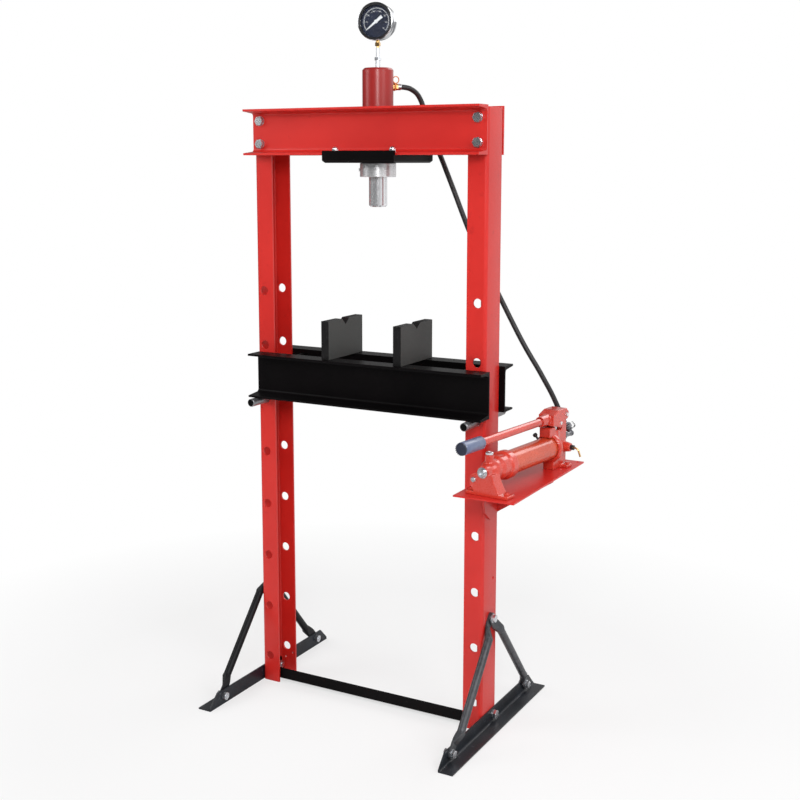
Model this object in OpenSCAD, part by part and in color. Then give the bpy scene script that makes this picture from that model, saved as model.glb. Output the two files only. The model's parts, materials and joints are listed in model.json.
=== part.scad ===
// Manual hydraulic H-frame press, 1.87 m tall, with a hand pump on a side tray.
// Origin: on the floor, midway between the posts. X to the right, Y to the rear, Z up. Millimetres.

/* [Posts] */
// Width across the outer faces of the two posts
frame_w = 690; // [600:5:800]
// Depth of a post, front to rear
post_depth = 90; // [84:1:104]
// Width of a post's inward flanges
post_flange = 54; // [50:1:64]
// Wall of the posts
post_wall = 5; // [4:0.5:7]
// Radius on the posts' outer corners
post_corner_r = 9; // [7.5:0.5:12]
// Height of the posts
post_h = 1606; // [1450:2:1800]
// Diameter of the pin holes
pin_hole_d = 24; // [23:0.5:28]
// Distance between pin holes, one above the other
hole_pitch = 150; // [130:5:170]
// Number of pin holes in each flange
hole_count = 8; // [7:1:9]
// Height of the lowest pin holes
first_hole_z = 75; // [65:5:100]
// Distance from a post's outer face to its line of holes
hole_line = 24; // [20:1:28]
// Diameter of the small cable hole in each post's web
web_hole_d = 9; // [6:1:14]
// Height of the small cable hole
web_hole_z = 400; // [340:5:520]

/* [Head and bolster channels] */
// Height of the rolled channels
channel_h = 120; // [110:2:140]
// Flange width of the rolled channels, over the web
channel_flange = 53; // [48:1:60]
// Web thickness of the rolled channels
channel_web = 5.5; // [4.5:0.5:7]
// Flange thickness of the rolled channels at the tip
channel_tip = 5.5; // [4.5:0.5:7]
// Taper of the flanges' inner faces, in degrees
channel_taper = 5.7; // [0:0.1:8]
// Fillet between the channels' web and flanges
channel_root_r = 8; // [6:0.5:9]
// Height of the head's top above the posts
head_above = 4; // [0:1:20]
// How far the rear head channel's flanges are cut back at each end
head_cope = 25; // [0:1:40]
// How much longer the bolster's channels are than the frame is wide
bolster_over = 10; // [-40:5:60]
// Running gap between each bolster channel and the posts
bolster_gap = 1; // [0.5:0.1:3]
// Offset of the bolster to the right of the frame's middle
bolster_x = 8; // [0:1:14]
// Pin hole, counted from the lowest, that carries the bolster at rest
bolster_hole = 5; // [2:1:5]
// Thickness of the plates that hold the bolster's channels apart
spacer_t = 10; // [6:1:16]
// Distance of the spacer plates from the bolster's middle
spacer_x = 257; // [220:1:262]

/* [V-blocks] */
// Thickness of a V-block
block_t = 23; // [16:1:32]
// Height of a V-block
block_h = 103; // [80:1:130]
// Length of a V-block, front to rear
block_len = 176; // [140:2:198]
// Distance of each V-block from the bolster's middle
block_x = 108; // [60:1:180]
// Width of the left block's V
left_v_w = 35; // [24:1:70]
// Depth of the left block's V
left_v_depth = 16; // [10:1:32]
// Width of the right block's V
right_v_w = 37; // [24:1:80]
// Depth of the right block's V
right_v_depth = 14; // [10:1:34]

/* [Support pins] */
// Diameter of the support pins
pin_d = 22; // [20:0.5:22.5]
// Length of the support pins
pin_len = 236; // [224:2:280]
// Gap between a loaded face and its seat
seat_gap = 0.3; // [0.2:0.05:0.5]

/* [Ram] */
// Offset of the ram to the right of the frame's middle
ram_x = 12; // [0:1:20]
// Outer diameter of the cylinder barrel
barrel_d = 80; // [76:1:84]
// Height of the barrel above the ram plate
barrel_h = 220; // [212:2:260]
// Bore of the barrel
barrel_bore = 60; // [58:0.5:62]
// Thickness of the barrel's closed top
barrel_top_t = 20; // [14:1:24]
// Diameter of the threaded neck under the barrel
neck_d = 68; // [66:0.5:70]
// Bore of the neck, which holds the rod guide
neck_bore = 56; // [54:0.5:57]
// Diameter of the ram rod
rod_d = 47.5; // [44:0.5:48]
// Blind bore down the ram rod
rod_bore = 32; // [30:0.5:34]
// Length of the ram rod below the lock collar at rest
rod_drop = 77; // [60:1:100]
// Stroke of the ram
ram_stroke = 160; // [120:5:160]
// Height of the piston
piston_h = 30; // [24:1:34]
// Diameter of the lock collar
collar_d = 94; // [86:1:110]
// Height of the lock collar
collar_h = 36; // [24:1:50]
// Length of the ram plate along the head
ram_plate_w = 210; // [190:2:260]
// Thickness of the ram plate
ram_plate_t = 20; // [14:1:26]
// Thickness of the lips at the front and rear of the ram plate
lip_t = 7.7; // [5:0.1:12]
// Height of the lips above the ram plate
lip_h = 11; // [6:1:18]
// Radial clearance of running and threaded fits
run_fit = 0.05; // [0.02:0.01:0.08]

/* [Gauge] */
// Diameter of the gauge's bezel
gauge_d = 95; // [80:1:104]
// Depth of the gauge, bezel included
gauge_depth = 42; // [36:1:52]
// Height of the gauge's centre above the barrel
gauge_rise = 115; // [110:1:140]
// Turn of the gauge's face towards the right
gauge_turn = 10; // [0:1:45]
// Rest angle of the pointer, clockwise from straight down
needle_rest = 52; // [20:1:90]

/* [Feet and braces] */
// Leg width of the foot angles
foot_leg = 40; // [34:1:50]
// Thickness of the foot angles
foot_t = 4; // [3:0.5:6]
// Length of the foot angles
foot_len = 592; // [520:4:700]
// Diameter of the brace tubes
brace_d = 21; // [18:1:22]
// Wall of the brace tubes
brace_wall = 2; // [1.5:0.5:3]
// Height of the bolt that joins a pair of braces
brace_z = 297; // [260:1:340]
// Distance of the braces' lower bolts from the posts' middle
brace_y = 235; // [200:1:250]
// Leg width of the base rail's angle
rail_leg = 30; // [25:1:36]
// Thickness of the base rail
rail_t = 4; // [3:0.5:5]

/* [Pump tray] */
// Height of the tray's top face
tray_z = 681; // [600:1:760]
// Thickness of the tray
tray_t = 4; // [3:0.5:6]
// How far the tray stands out from the post
tray_w = 159; // [150:1:190]
// Front edge of the tray, in front of the post's middle
tray_front = 225; // [215:1:260]
// Rear edge of the tray, behind the post's middle
tray_rear = 245; // [235:1:280]
// Drop of the bracket under the tray
bracket_drop = 110; // [80:1:140]

/* [Pump] */
// Turn of the pump's rear end towards the right
pump_turn = 7; // [0:0.5:10]
// Distance of the pump's centreline from the post's outer face
pump_out = 95; // [90:1:105]
// Outer diameter of the oil tank
tank_d = 60; // [50:1:62]
// Wall of the oil tank
tank_wall = 3; // [2:0.5:4]
// Height of the tank's centreline above the tray
tank_z = 58; // [54:1:64]
// Diameter of the handle tube
handle_d = 20; // [18:0.5:22]
// Diameter of the handle's grip
grip_d = 32; // [27:1:36]
// Length of the handle's grip
grip_len = 89; // [80:1:130]
// Diameter of the pump plunger
plunger_d = 20; // [18:0.5:22]
// Diameter of the lever's fulcrum pin
fulcrum_d = 10; // [8:0.5:11]
// Diameter of the pin that drives the plunger
drive_pin_d = 9; // [8:0.5:10]
// Distance between the fulcrum pin and the drive pin
lever_arm = 36; // [34:0.5:38]

/* [Hose] */
// Outer diameter of the hose
hose_d = 13.5; // [10:0.5:14]

/* [Hidden] */
$fn = 48;
eps = 0.01;

// Finishes
red = [0.80, 0.13, 0.11];
pump_red = [0.85, 0.25, 0.14];
black = [0.06, 0.06, 0.07];
zinc = [0.75, 0.77, 0.80];
brass = [0.80, 0.62, 0.30];

// Frame positions
post_x = frame_w / 2;
hole_x = post_x - hole_line;
half_depth = post_depth / 2;
bolster_len = frame_w + bolster_over;
head_z = post_h + head_above - channel_h;
bolt_inset = 30;
head_bolt_z = [head_z + bolt_inset, head_z + channel_h - bolt_inset];

// Fasteners
bolt_d = 14;
bolt_head_af = 22;
bolt_head_h = 8;
washer_d = 25;
washer_t = 2.5;
nut_h = 11;
hole_play = 0.5;
barrel_gap = 1;
foot_bolt_y = 22;
foot_bolt_z = 22;
brace_bolt_d = 12;
brace_bolt_z = 24;

// Bolster and pins
pin_rest_z = first_hole_z + hole_pitch * bolster_hole - (pin_hole_d - pin_d) / 2 + seat_gap;
bolster_z = pin_rest_z + pin_d / 2 + seat_gap;
bolster_web_y = half_depth + bolster_gap;

// Ram
plate_z = head_z - ram_plate_t;
collar_z = plate_z - collar_h;
barrel_top_z = head_z + barrel_h;
bore_top_z = barrel_top_z - barrel_top_t;
neck_bore_top_z = head_z - 10;
rod_bottom_z = collar_z - rod_drop;
piston_z = neck_bore_top_z + ram_stroke + 1;
piston_top_z = piston_z + piston_h;
rod_spigot_d = 40;
rod_bore_z = rod_bottom_z + 28;
spring_d = 26;
spring_wire = 4;
spring_turns = 18;
spring_boss_d = 17;
spring_boss_h = 20;
gauge_z = barrel_top_z + gauge_rise;
plate_screw_x = 84;
plate_screw_y = 75;
plate_screw_d = 10;

// Feet
foot_x = post_x + foot_t;
brace_flat = 2 * brace_wall;
brace_gap = 0.1;
brace_stack = 2 * brace_flat + brace_gap;

// Pump frame
pump_x = post_x + pump_out;
pump_y = 24;
body_w = 31;
cheek_in = 16;
cheek_out = 22;
fulcrum_y = 152;
fulcrum_z = 140;
drive_drop = 30;
drive_y = fulcrum_y - lever_arm * cos(drive_drop);
drive_z = fulcrum_z - lever_arm * sin(drive_drop);
plunger_y = fulcrum_y - lever_arm * (1 + cos(drive_drop)) / 2;
handle_z = 134;
valve_y = 154;
valve_z = 54;

// Hose route, one point every few diameters, from the cylinder to the pump
hose_sides = 10;
hose_route = [
    [50, 51, 1664], [53, 55, 1664], [60, 63, 1663], [66, 71, 1661], [71, 79, 1657],
    [75, 87, 1652], [78, 94, 1646], [80, 100, 1639], [82, 105, 1631], [84, 109, 1622],
    [86, 112, 1612], [90, 115, 1596], [96, 117, 1575], [106, 118, 1545], [118, 119, 1518],
    [134, 120, 1485], [153, 125, 1437], [172, 130, 1388], [190, 135, 1340], [209, 141, 1291],
    [230, 147, 1244], [251, 154, 1197], [273, 161, 1150], [296, 167, 1104], [322, 174, 1052],
    [349, 180, 1001], [371, 184, 964], [391, 189, 931], [409, 195, 898], [424, 202, 868],
    [436, 208, 840], [445, 214, 816], [452, 219, 798], [454, 220, 794]
];
hose_start = hose_route[0];
hose_start_dir = hose_route[1] - hose_route[0];
hose_end = hose_route[len(hose_route) - 1];
hose_end_dir = hose_end - hose_route[len(hose_route) - 2];

// ---- helpers ----

// Points along a circular arc
function arc(cx, cy, r, a0, a1, n = 6) =
    [for (i = [0:n]) let (a = a0 + (a1 - a0) * i / n) [cx + r * cos(a), cy + r * sin(a)]];

function unit(v) = v / norm(v);

// Half of a rolled channel's inner outline, from the bottom tip round the root to the web
function channel_inner(h, flange, web, tip, taper, root_r) =
    let (cz = tip + (flange - web - root_r) * tan(taper) + root_r / cos(taper))
    concat([[flange, tip]], arc(web + root_r, cz, root_r, 270 - taper, 180));

function channel_points(h, flange, web, tip, taper, root_r) =
    let (low = channel_inner(h, flange, web, tip, taper, root_r))
    concat(
        [[0, h], [0, 0], [flange, 0]],
        low,
        [for (i = [len(low) - 1:-1:0]) [low[i][0], h - low[i][1]]],
        [[flange, h]]
    );

// Rolled channel along X, its web's outer face on y = 0 and its flanges towards +Y
module channel(length) {
    outline = channel_points(channel_h, channel_flange, channel_web, channel_tip,
                             channel_taper, channel_root_r);
    translate([-length / 2, 0, 0])
        rotate([90, 0, 90])
            linear_extrude(length)
                polygon(outline);
}

// Turns the children's Z axis along a direction
module along(v) {
    rotate([0, acos(v[2] / norm(v)), atan2(v[1], v[0])])
        children();
}

module ring(d_out, d_in, h) {
    difference() {
        cylinder(d = d_out, h = h);
        translate([0, 0, -1])
            cylinder(d = d_in, h = h + 2);
    }
}

module hex(af, h) {
    cylinder(d = af / cos(30), h = h, $fn = 6);
}

// Cylinder along Y, centred on its own length
module y_rod(d, length) {
    rotate([90, 0, 0])
        cylinder(d = d, h = length, center = true);
}

module x_rod(d, length) {
    rotate([0, 90, 0])
        cylinder(d = d, h = length, center = true);
}

// Rod with chamfered ends, along Z from 0
module chamfered_rod(d, length, c) {
    rotate_extrude()
        polygon([[0, 0], [d / 2 - c, 0], [d / 2, c], [d / 2, length - c], [d / 2 - c, length], [0, length]]);
}

// Hex bolt whose head sits on z = 0 and whose shank points down
module hex_bolt(d, af, head_h, shank) {
    hex(af, head_h);
    translate([0, 0, -shank])
        cylinder(d = d, h = shank + eps);
}

module hex_nut(d, af, h) {
    difference() {
        hex(af, h);
        translate([0, 0, -1])
            cylinder(d = d + 2 * run_fit, h = h + 2);
    }
}

// Puts the children at each of the four head bolt places of one face
module at_head_bolts(side) {
    for (x = [-hole_x, hole_x], z = head_bolt_z)
        translate([x, side * (half_depth + channel_web), z])
            rotate([side * -90, 0, 0])
                children();
}

// Puts the children on the outer face of each side, Z outwards, at a place on that face
module at_sides(y, z, x) {
    for (side = [-1, 1])
        translate([side * x, y, z])
            rotate([0, side * 90, 0])
                children();
}

// ---- posts, head and base ----

module post() {
    r_in = post_corner_r - post_wall;
    near = half_depth - post_corner_r;
    outline = concat(
        [[post_flange, -half_depth]],
        arc(post_corner_r, -near, post_corner_r, 270, 180),
        arc(post_corner_r, near, post_corner_r, 180, 90),
        [[post_flange, half_depth], [post_flange, half_depth - post_wall]],
        arc(post_corner_r, near, r_in, 90, 180),
        arc(post_corner_r, -near, r_in, 180, 270),
        [[post_flange, post_wall - half_depth]]
    );
    difference() {
        linear_extrude(post_h)
            polygon(outline);
        for (i = [0:hole_count - 1])
            translate([hole_line, 0, first_hole_z + i * hole_pitch])
                y_rod(pin_hole_d, post_depth + 2);
        for (z = head_bolt_z)
            translate([hole_line, 0, z])
                y_rod(bolt_d + 2 * hole_play, post_depth + 2);
        translate([0, foot_bolt_y, foot_bolt_z])
            x_rod(bolt_d + 2 * hole_play, 3 * post_wall);
        translate([0, 0, brace_z])
            x_rod(brace_bolt_d + 2 * hole_play, 3 * post_wall);
        translate([0, 18, web_hole_z])
            x_rod(web_hole_d, 3 * post_wall);
        for (p = [[21, 41], [44, 56]])
            translate([p[0], half_depth, p[1]])
                y_rod(6, 3 * post_wall);
    }
}

module left_post() {
    color(red)
        translate([-post_x, 0, 0])
            post();
}

module right_post() {
    color(red)
        mirror([1, 0, 0])
            translate([-post_x, 0, 0])
                post();
}

module head_channel() {
    difference() {
        translate([0, half_depth, head_z])
            channel(frame_w);
        for (x = [-hole_x, hole_x], z = head_bolt_z)
            translate([x, half_depth, z])
                y_rod(bolt_d + 2 * hole_play, 4 * channel_web);
        for (side = [-1, 1])
            translate([ram_x + side * plate_screw_x, plate_screw_y, head_z - 1])
                cylinder(d = plate_screw_d + 2 * hole_play, h = 3 * channel_tip);
        translate([ram_x, 0, head_z - 1])
            cylinder(d = barrel_d + 2 * barrel_gap, h = channel_h + 2);
    }
}

module head_channel_front() {
    color(red)
        mirror([0, 1, 0])
            head_channel();
}

// The rear channel's flanges are cut back to the web at both ends
module head_channel_rear() {
    color(red)
        difference() {
            head_channel();
            for (side = [-1, 1])
                translate([side * post_x - head_cope, half_depth + channel_web, head_z - 1])
                    cube([2 * head_cope, channel_flange, channel_h + 2]);
        }
}

module frame_bolts() {
    color(zinc) {
        for (side = [-1, 1])
            at_head_bolts(side)
                translate([0, 0, washer_t])
                    hex_bolt(bolt_d, bolt_head_af, bolt_head_h, channel_web + post_wall + washer_t + nut_h + 2);
        at_sides(foot_bolt_y, foot_bolt_z, foot_x + washer_t)
            hex_bolt(bolt_d, bolt_head_af, bolt_head_h, washer_t + foot_t + post_wall + rail_t + nut_h + 2);
        at_sides(0, brace_z, post_x + brace_stack + washer_t)
            hex_bolt(brace_bolt_d, 19, 7.5, washer_t + brace_stack + post_wall + nut_h + 2);
        for (y = [-brace_y, brace_y])
            at_sides(y, brace_bolt_z, foot_x + brace_flat + washer_t)
                hex_bolt(brace_bolt_d, 19, 7.5, washer_t + brace_flat + foot_t + nut_h + 2);
    }
}

// Bevelled washer that levels a head flange for the ram plate's nut
module bevel_washer(x, side) {
    difference() {
        translate([x, side * plate_screw_y, head_z + channel_tip / 2])
            cylinder(d = 20, h = plate_nut_z - head_z - channel_tip / 2);
        translate([x, side * plate_screw_y, head_z])
            cylinder(d = plate_screw_d + 2 * hole_play, h = 30);
        mirror([0, side < 0 ? 1 : 0, 0])
            translate([0, half_depth, head_z])
                channel(frame_w);
    }
}

module frame_washers() {
    color(zinc) {
        for (side = [-1, 1])
            at_head_bolts(side)
                ring(washer_d, bolt_d + 2 * hole_play, washer_t);
        at_sides(foot_bolt_y, foot_bolt_z, foot_x)
            ring(washer_d, bolt_d + 2 * hole_play, washer_t);
        at_sides(0, brace_z, post_x + brace_stack)
            ring(24, brace_bolt_d + 2 * hole_play, washer_t);
        for (y = [-brace_y, brace_y])
            at_sides(y, brace_bolt_z, foot_x + brace_flat)
                ring(24, brace_bolt_d + 2 * hole_play, washer_t);
        for (dx = [-plate_screw_x, plate_screw_x], side = [-1, 1])
            bevel_washer(ram_x + dx, side);
    }
}

module frame_nuts() {
    color(zinc) {
        for (side = [-1, 1])
            at_head_bolts(side)
                translate([0, 0, -channel_web - post_wall - nut_h])
                    hex_nut(bolt_d, bolt_head_af, nut_h);
        at_sides(foot_bolt_y, foot_bolt_z, post_x - post_wall - rail_t - nut_h)
            hex_nut(bolt_d, bolt_head_af, nut_h);
        at_sides(0, brace_z, post_x - post_wall - nut_h)
            hex_nut(brace_bolt_d, 19, nut_h);
        for (y = [-brace_y, brace_y])
            at_sides(y, brace_bolt_z, post_x - nut_h)
                hex_nut(brace_bolt_d, 19, nut_h);
    }
}

// Angle between the posts, its upright leg in front, with an end plate against each web
module base_rail() {
    inner = post_x - post_wall;
    front = post_corner_r + 0.5 - half_depth;
    bottom = 10;
    color(black)
        difference() {
            union() {
                translate([-inner, front, bottom])
                    cube([2 * inner, rail_t, rail_leg]);
                translate([-inner, front, bottom])
                    cube([2 * inner, rail_leg, rail_t]);
                for (side = [-1, 1])
                    translate([side * (inner - rail_t / 2) - rail_t / 2, front, bottom])
                        cube([rail_t, foot_bolt_y + 14 - front, rail_leg]);
            }
            at_sides(foot_bolt_y, foot_bolt_z, post_x - 3 * post_wall)
                cylinder(d = bolt_d + 2 * hole_play, h = 3 * post_wall);
        }
}

// Angle under a post: upright leg on the post's web, flat leg outwards on the floor
module foot() {
    root = 5;
    outline = concat(
        [[0, 0], [foot_leg, 0], [foot_leg, foot_t]],
        arc(foot_t + root, foot_t + root, root, 270, 180),
        [[foot_t, foot_leg], [0, foot_leg]]
    );
    cut = foot_leg - 7;
    difference() {
        translate([post_x, foot_len / 2, 0])
            rotate([90, 0, 0])
                linear_extrude(foot_len)
                    polygon(outline);
        for (side = [-1, 1])
            translate([post_x - 1, side * foot_len / 2, 7])
                rotate([90, 0, 90])
                    linear_extrude(foot_t + 1)
                        polygon([[0, 0], [0, cut + 1], [-side * (cut + 1), cut + 1]]);
        translate([post_x, foot_bolt_y, foot_bolt_z])
            x_rod(bolt_d + 2 * hole_play, 6 * foot_t);
        for (y = [-brace_y, brace_y])
            translate([post_x, y, brace_bolt_z])
                x_rod(brace_bolt_d + 2 * hole_play, 6 * foot_t);
    }
}

module left_foot() {
    color([0.16, 0.20, 0.25])
        mirror([1, 0, 0])
            foot();
}

module right_foot() {
    color([0.16, 0.20, 0.25])
        foot();
}

// Tube with flattened, drilled ends, between its lower bolt and the pair's upper bolt.
// flat_x is the inner face of its upper flat.
module brace(side, flat_x) {
    run = [0, -side * brace_y, brace_z - brace_bolt_z];
    length = norm(run);
    flat_w = brace_d * 1.35;
    neck = 24;
    taper = 34;
    tube_x = foot_x + brace_d / 2 + 0.6;
    low_x = foot_x;
    difference() {
        translate([0, side * brace_y, brace_bolt_z])
            rotate([side * atan2(brace_y, brace_z - brace_bolt_z), 0, 0]) {
                translate([tube_x, 0, neck + taper])
                    ring(brace_d, brace_d - 2 * brace_wall, length - 2 * (neck + taper));
                for (end = [[low_x, 0, 0], [flat_x, length, 180]])
                    translate([0, 0, end[1]])
                        rotate([end[2], 0, 0]) {
                            translate([end[0], 0, 0])
                                rotate([0, 90, 0])
                                    cylinder(d = flat_w, h = brace_flat);
                            translate([end[0], -flat_w / 2, 0])
                                cube([brace_flat, flat_w, neck]);
                            intersection() {
                                translate([0, flat_w, neck])
                                    rotate([90, 0, 0])
                                        linear_extrude(2 * flat_w)
                                            polygon([
                                                [end[0], -1], [end[0] + brace_flat, -1], [end[0] + brace_flat, 0],
                                                [tube_x + brace_d / 2, taper], [tube_x - brace_d / 2, taper], [end[0], 0]
                                            ]);
                                translate([tube_x - 2 * brace_d, 0, neck])
                                    rotate([90, 0, 90])
                                        linear_extrude(4 * brace_d)
                                            polygon([
                                                [-flat_w / 2, -1], [flat_w / 2, -1], [flat_w / 2, 0],
                                                [brace_d / 2, taper], [-brace_d / 2, taper], [-flat_w / 2, 0]
                                            ]);
                                translate([tube_x, 0, neck - 1])
                                    cylinder(r1 = brace_d, r2 = brace_d / 2, h = taper + 1);
                            }
                        }
            }
        translate([foot_x, side * brace_y, brace_bolt_z])
            x_rod(brace_bolt_d + 2 * hole_play, 6 * brace_flat);
        translate([foot_x, 0, brace_z])
            x_rod(brace_bolt_d + 2 * hole_play, 6 * brace_flat);
    }
}

module brace_pair() {
    brace(-1, post_x);
    brace(1, post_x + brace_flat + brace_gap);
}

module left_braces() {
    color(black)
        mirror([1, 0, 0])
            brace_pair();
}

module right_braces() {
    color([0.42, 0.44, 0.46])
        brace_pair();
}

// ---- ram unit ----

plate_half_y = half_depth + channel_flange + seat_gap + lip_t;
plate_nut_z = head_z + channel_tip
    + (half_depth + channel_flange - plate_screw_y + 10) * tan(channel_taper);

module ram_plate() {
    lip_y = plate_half_y - lip_t;
    c = 7;
    outline = [
        [-plate_half_y, plate_z + c], [-plate_half_y + c, plate_z],
        [plate_half_y - c, plate_z], [plate_half_y, plate_z + c],
        [plate_half_y, head_z + lip_h], [lip_y, head_z + lip_h], [lip_y, head_z],
        [-lip_y, head_z], [-lip_y, head_z + lip_h], [-plate_half_y, head_z + lip_h]
    ];
    color(black)
        translate([ram_x, 0, 0])
            difference() {
                translate([-ram_plate_w / 2, 0, 0])
                    rotate([90, 0, 90])
                        linear_extrude(ram_plate_w)
                            polygon(outline);
                for (side = [-1, 1])
                    translate([side * ram_plate_w / 2, 0, plate_z])
                        rotate([0, 45, 0])
                            cube([c, 3 * plate_half_y, c], center = true);
                translate([0, 0, plate_z - 1])
                    cylinder(d = neck_d + 2 * run_fit, h = ram_plate_t + 2);
                for (x = [-plate_screw_x, plate_screw_x], y = [-plate_screw_y, plate_screw_y])
                    translate([x, y, plate_z])
                        plate_screw_hole();
            }
}

module plate_screw_hole() {
    translate([0, 0, -1])
        cylinder(d = plate_screw_d + 2 * hole_play, h = ram_plate_t + 2);
    translate([0, 0, -eps])
        cylinder(d1 = 21, d2 = plate_screw_d + 2 * hole_play, h = 5.5);
}

module cap_nut() {
    difference() {
        union() {
            hex(16, 6);
            translate([0, 0, 6])
                intersection() {
                    sphere(d = 15);
                    cylinder(d = 15, h = 8);
                }
        }
        translate([0, 0, -1])
            cylinder(d = plate_screw_d + 2 * run_fit, h = 7.5);
    }
}

// Countersunk screws through plate and flange, each with a cap nut on its bevelled washer
module ram_plate_bolts() {
    top = plate_nut_z - plate_z;
    color(zinc)
        for (x = [-plate_screw_x, plate_screw_x], y = [-plate_screw_y, plate_screw_y])
            translate([ram_x + x, y, plate_z]) {
                cylinder(d = plate_screw_d, h = top + 6);
                cylinder(d1 = 20, d2 = plate_screw_d, h = 5);
                translate([0, 0, top])
                    cap_nut();
            }
}

module cylinder_barrel() {
    chamfer = 5;
    color(red)
        translate([ram_x, 0, 0])
            difference() {
                rotate_extrude()
                    polygon([
                        [0, collar_z], [neck_d / 2, collar_z], [neck_d / 2, head_z], [barrel_d / 2, head_z],
                        [barrel_d / 2, barrel_top_z - chamfer], [barrel_d / 2 - chamfer, barrel_top_z],
                        [0, barrel_top_z]
                    ]);
                translate([0, 0, neck_bore_top_z])
                    difference() {
                        cylinder(d = barrel_bore, h = bore_top_z - neck_bore_top_z);
                        translate([0, 0, bore_top_z - neck_bore_top_z - spring_boss_h])
                            cylinder(d = spring_boss_d, h = spring_boss_h + 1);
                    }
                translate([0, 0, collar_z - 1])
                    cylinder(d = neck_bore, h = neck_bore_top_z - collar_z + 2);
                translate([0, 0, bore_top_z - spring_boss_h - 1])
                    cylinder(d = 5, h = barrel_top_t + spring_boss_h + 2);
                translate([0, 0, hose_start[2]])
                    along(hose_start_dir)
                        translate([0, 0, barrel_bore / 2 - 5])
                            cylinder(d = 6, h = barrel_d);
            }
}

module lock_collar() {
    c = 1.5;
    color([0.78, 0.79, 0.80])
        translate([ram_x, 0, collar_z])
            difference() {
                chamfered_rod(collar_d, collar_h, c);
                translate([0, 0, -1])
                    cylinder(d = neck_d + 2 * run_fit, h = collar_h + 2);
                rotate([0, 90, 208])
                    translate([-collar_h / 2, 0, 0])
                        cylinder(d = 8 + 2 * run_fit, h = collar_d);
            }
}

module collar_set_screw() {
    color(black)
        translate([ram_x, 0, collar_z])
            rotate([0, 90, 208])
                translate([-collar_h / 2, 0, neck_d / 2 + 0.5])
                    cylinder(d = 8, h = collar_d / 2 - neck_d / 2 + 2.5);
}

module rod_guide() {
    color(brass)
        translate([ram_x, 0, collar_z])
            ring(neck_bore - 2 * run_fit, rod_d + 2 * run_fit, collar_h + 2);
}

module rod_seal() {
    color(black)
        translate([ram_x, 0, collar_z + collar_h + 2])
            ring(neck_bore - 2 * run_fit, rod_d + 2 * run_fit, neck_bore_top_z - collar_z - collar_h - 2);
}

module ram_rod() {
    c = 4;
    r = rod_d / 2;
    stud_r = spring_boss_d / 2;
    color([0.80, 0.80, 0.80])
        translate([ram_x, 0, 0])
            rotate_extrude()
                polygon([
                    [0, rod_bottom_z], [r - c, rod_bottom_z], [r, rod_bottom_z + c], [r, piston_z],
                    [rod_spigot_d / 2, piston_z], [rod_spigot_d / 2, piston_top_z],
                    [rod_bore / 2, piston_top_z], [rod_bore / 2, rod_bore_z],
                    [stud_r, rod_bore_z], [stud_r, rod_bore_z + spring_boss_h], [0, rod_bore_z + spring_boss_h]
                ]);
}

seal_h = 8;
seal_depth = 5;

module piston() {
    r = barrel_bore / 2 - run_fit;
    seal_z = piston_z + (piston_h - seal_h) / 2;
    color(zinc)
        translate([ram_x, 0, 0])
            rotate_extrude()
                polygon([
                    [rod_spigot_d / 2 + run_fit, piston_z], [r, piston_z], [r, seal_z],
                    [r - seal_depth, seal_z], [r - seal_depth, seal_z + seal_h], [r, seal_z + seal_h],
                    [r, piston_top_z], [rod_spigot_d / 2 + run_fit, piston_top_z]
                ]);
}

module piston_seal() {
    color(black)
        translate([ram_x, 0, piston_z + (piston_h - seal_h) / 2 + run_fit])
            ring(barrel_bore - 2 * run_fit, barrel_bore - 2 * seal_depth, seal_h - 2 * run_fit);
}

// Extension spring between the barrel's inner boss and the stud in the rod
module return_spring() {
    coil_r = (spring_d - spring_wire) / 2;
    wire_r = spring_wire / 2;
    sides = 6;
    per_turn = 10;
    low = rod_bore_z + wire_r + 0.2;
    rise = bore_top_z - wire_r - 0.2 - low;
    rings = spring_turns * per_turn;
    points = [
        for (i = [0:rings], j = [0:sides - 1])
            let (a = 360 * i / per_turn, b = 360 * j / sides, r = coil_r + wire_r * cos(b))
            [r * cos(a), r * sin(a), low + rise * i / rings + wire_r * sin(b)]
    ];
    color(zinc)
        translate([ram_x, 0, 0])
            polyhedron(points, tube_faces(rings, sides));
}

// Faces of a tube with rings 0..n of the given number of sides, closed at both ends
function tube_faces(n, sides) = concat(
    [[for (j = [0:sides - 1]) j]],
    [
        for (i = [0:n - 1], j = [0:sides - 1])
            let (a = i * sides + j, b = i * sides + (j + 1) % sides)
            [a, a + sides, b + sides, b]
    ],
    [[for (j = [sides - 1:-1:0]) n * sides + j]]
);

// ---- gauge ----

module in_gauge() {
    translate([ram_x, 0, gauge_z])
        rotate([0, 0, gauge_turn])
            children();
}

gauge_r = gauge_d / 2;
gauge_front = 24;
gauge_back = gauge_depth - gauge_front;
case_r = gauge_r - 2.5;
case_wall = 2;
spindle_d = 3;
movement_drop = 31;

module gauge_adapter() {
    color(zinc)
        translate([ram_x, 0, barrel_top_z]) {
            cylinder(d = 12, h = 20);
            translate([0, 0, 20])
                hex(17, 7);
            translate([0, 0, 27])
                cylinder(d = 9, h = gauge_rise - 27 - 65);
        }
}

module gauge_stem() {
    foot_z = gauge_z - 65;
    color(brass)
        translate([ram_x, 0, foot_z]) {
            cylinder(d = 7, h = 5);
            translate([0, 0, 5])
                rotate([0, 0, gauge_turn])
                    translate([-5.5, -5.5, 0])
                        cube([11, 11, 9]);
            translate([0, 0, 14])
                cylinder(d = 10, h = 65 - 14 - movement_drop);
        }
}

module gauge_case() {
    color([0.80, 0.82, 0.85])
        in_gauge()
            difference() {
                translate([0, gauge_back, 0])
                    rotate([90, 0, 0])
                        cylinder(r = case_r, h = gauge_back + 14);
                translate([0, gauge_back - case_wall, 0])
                    rotate([90, 0, 0])
                        cylinder(r = case_r - case_wall, h = gauge_back + 14);
                translate([0, 0, -gauge_r])
                    cylinder(d = 10 + 2 * run_fit, h = gauge_r / 2);
            }
}

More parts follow.
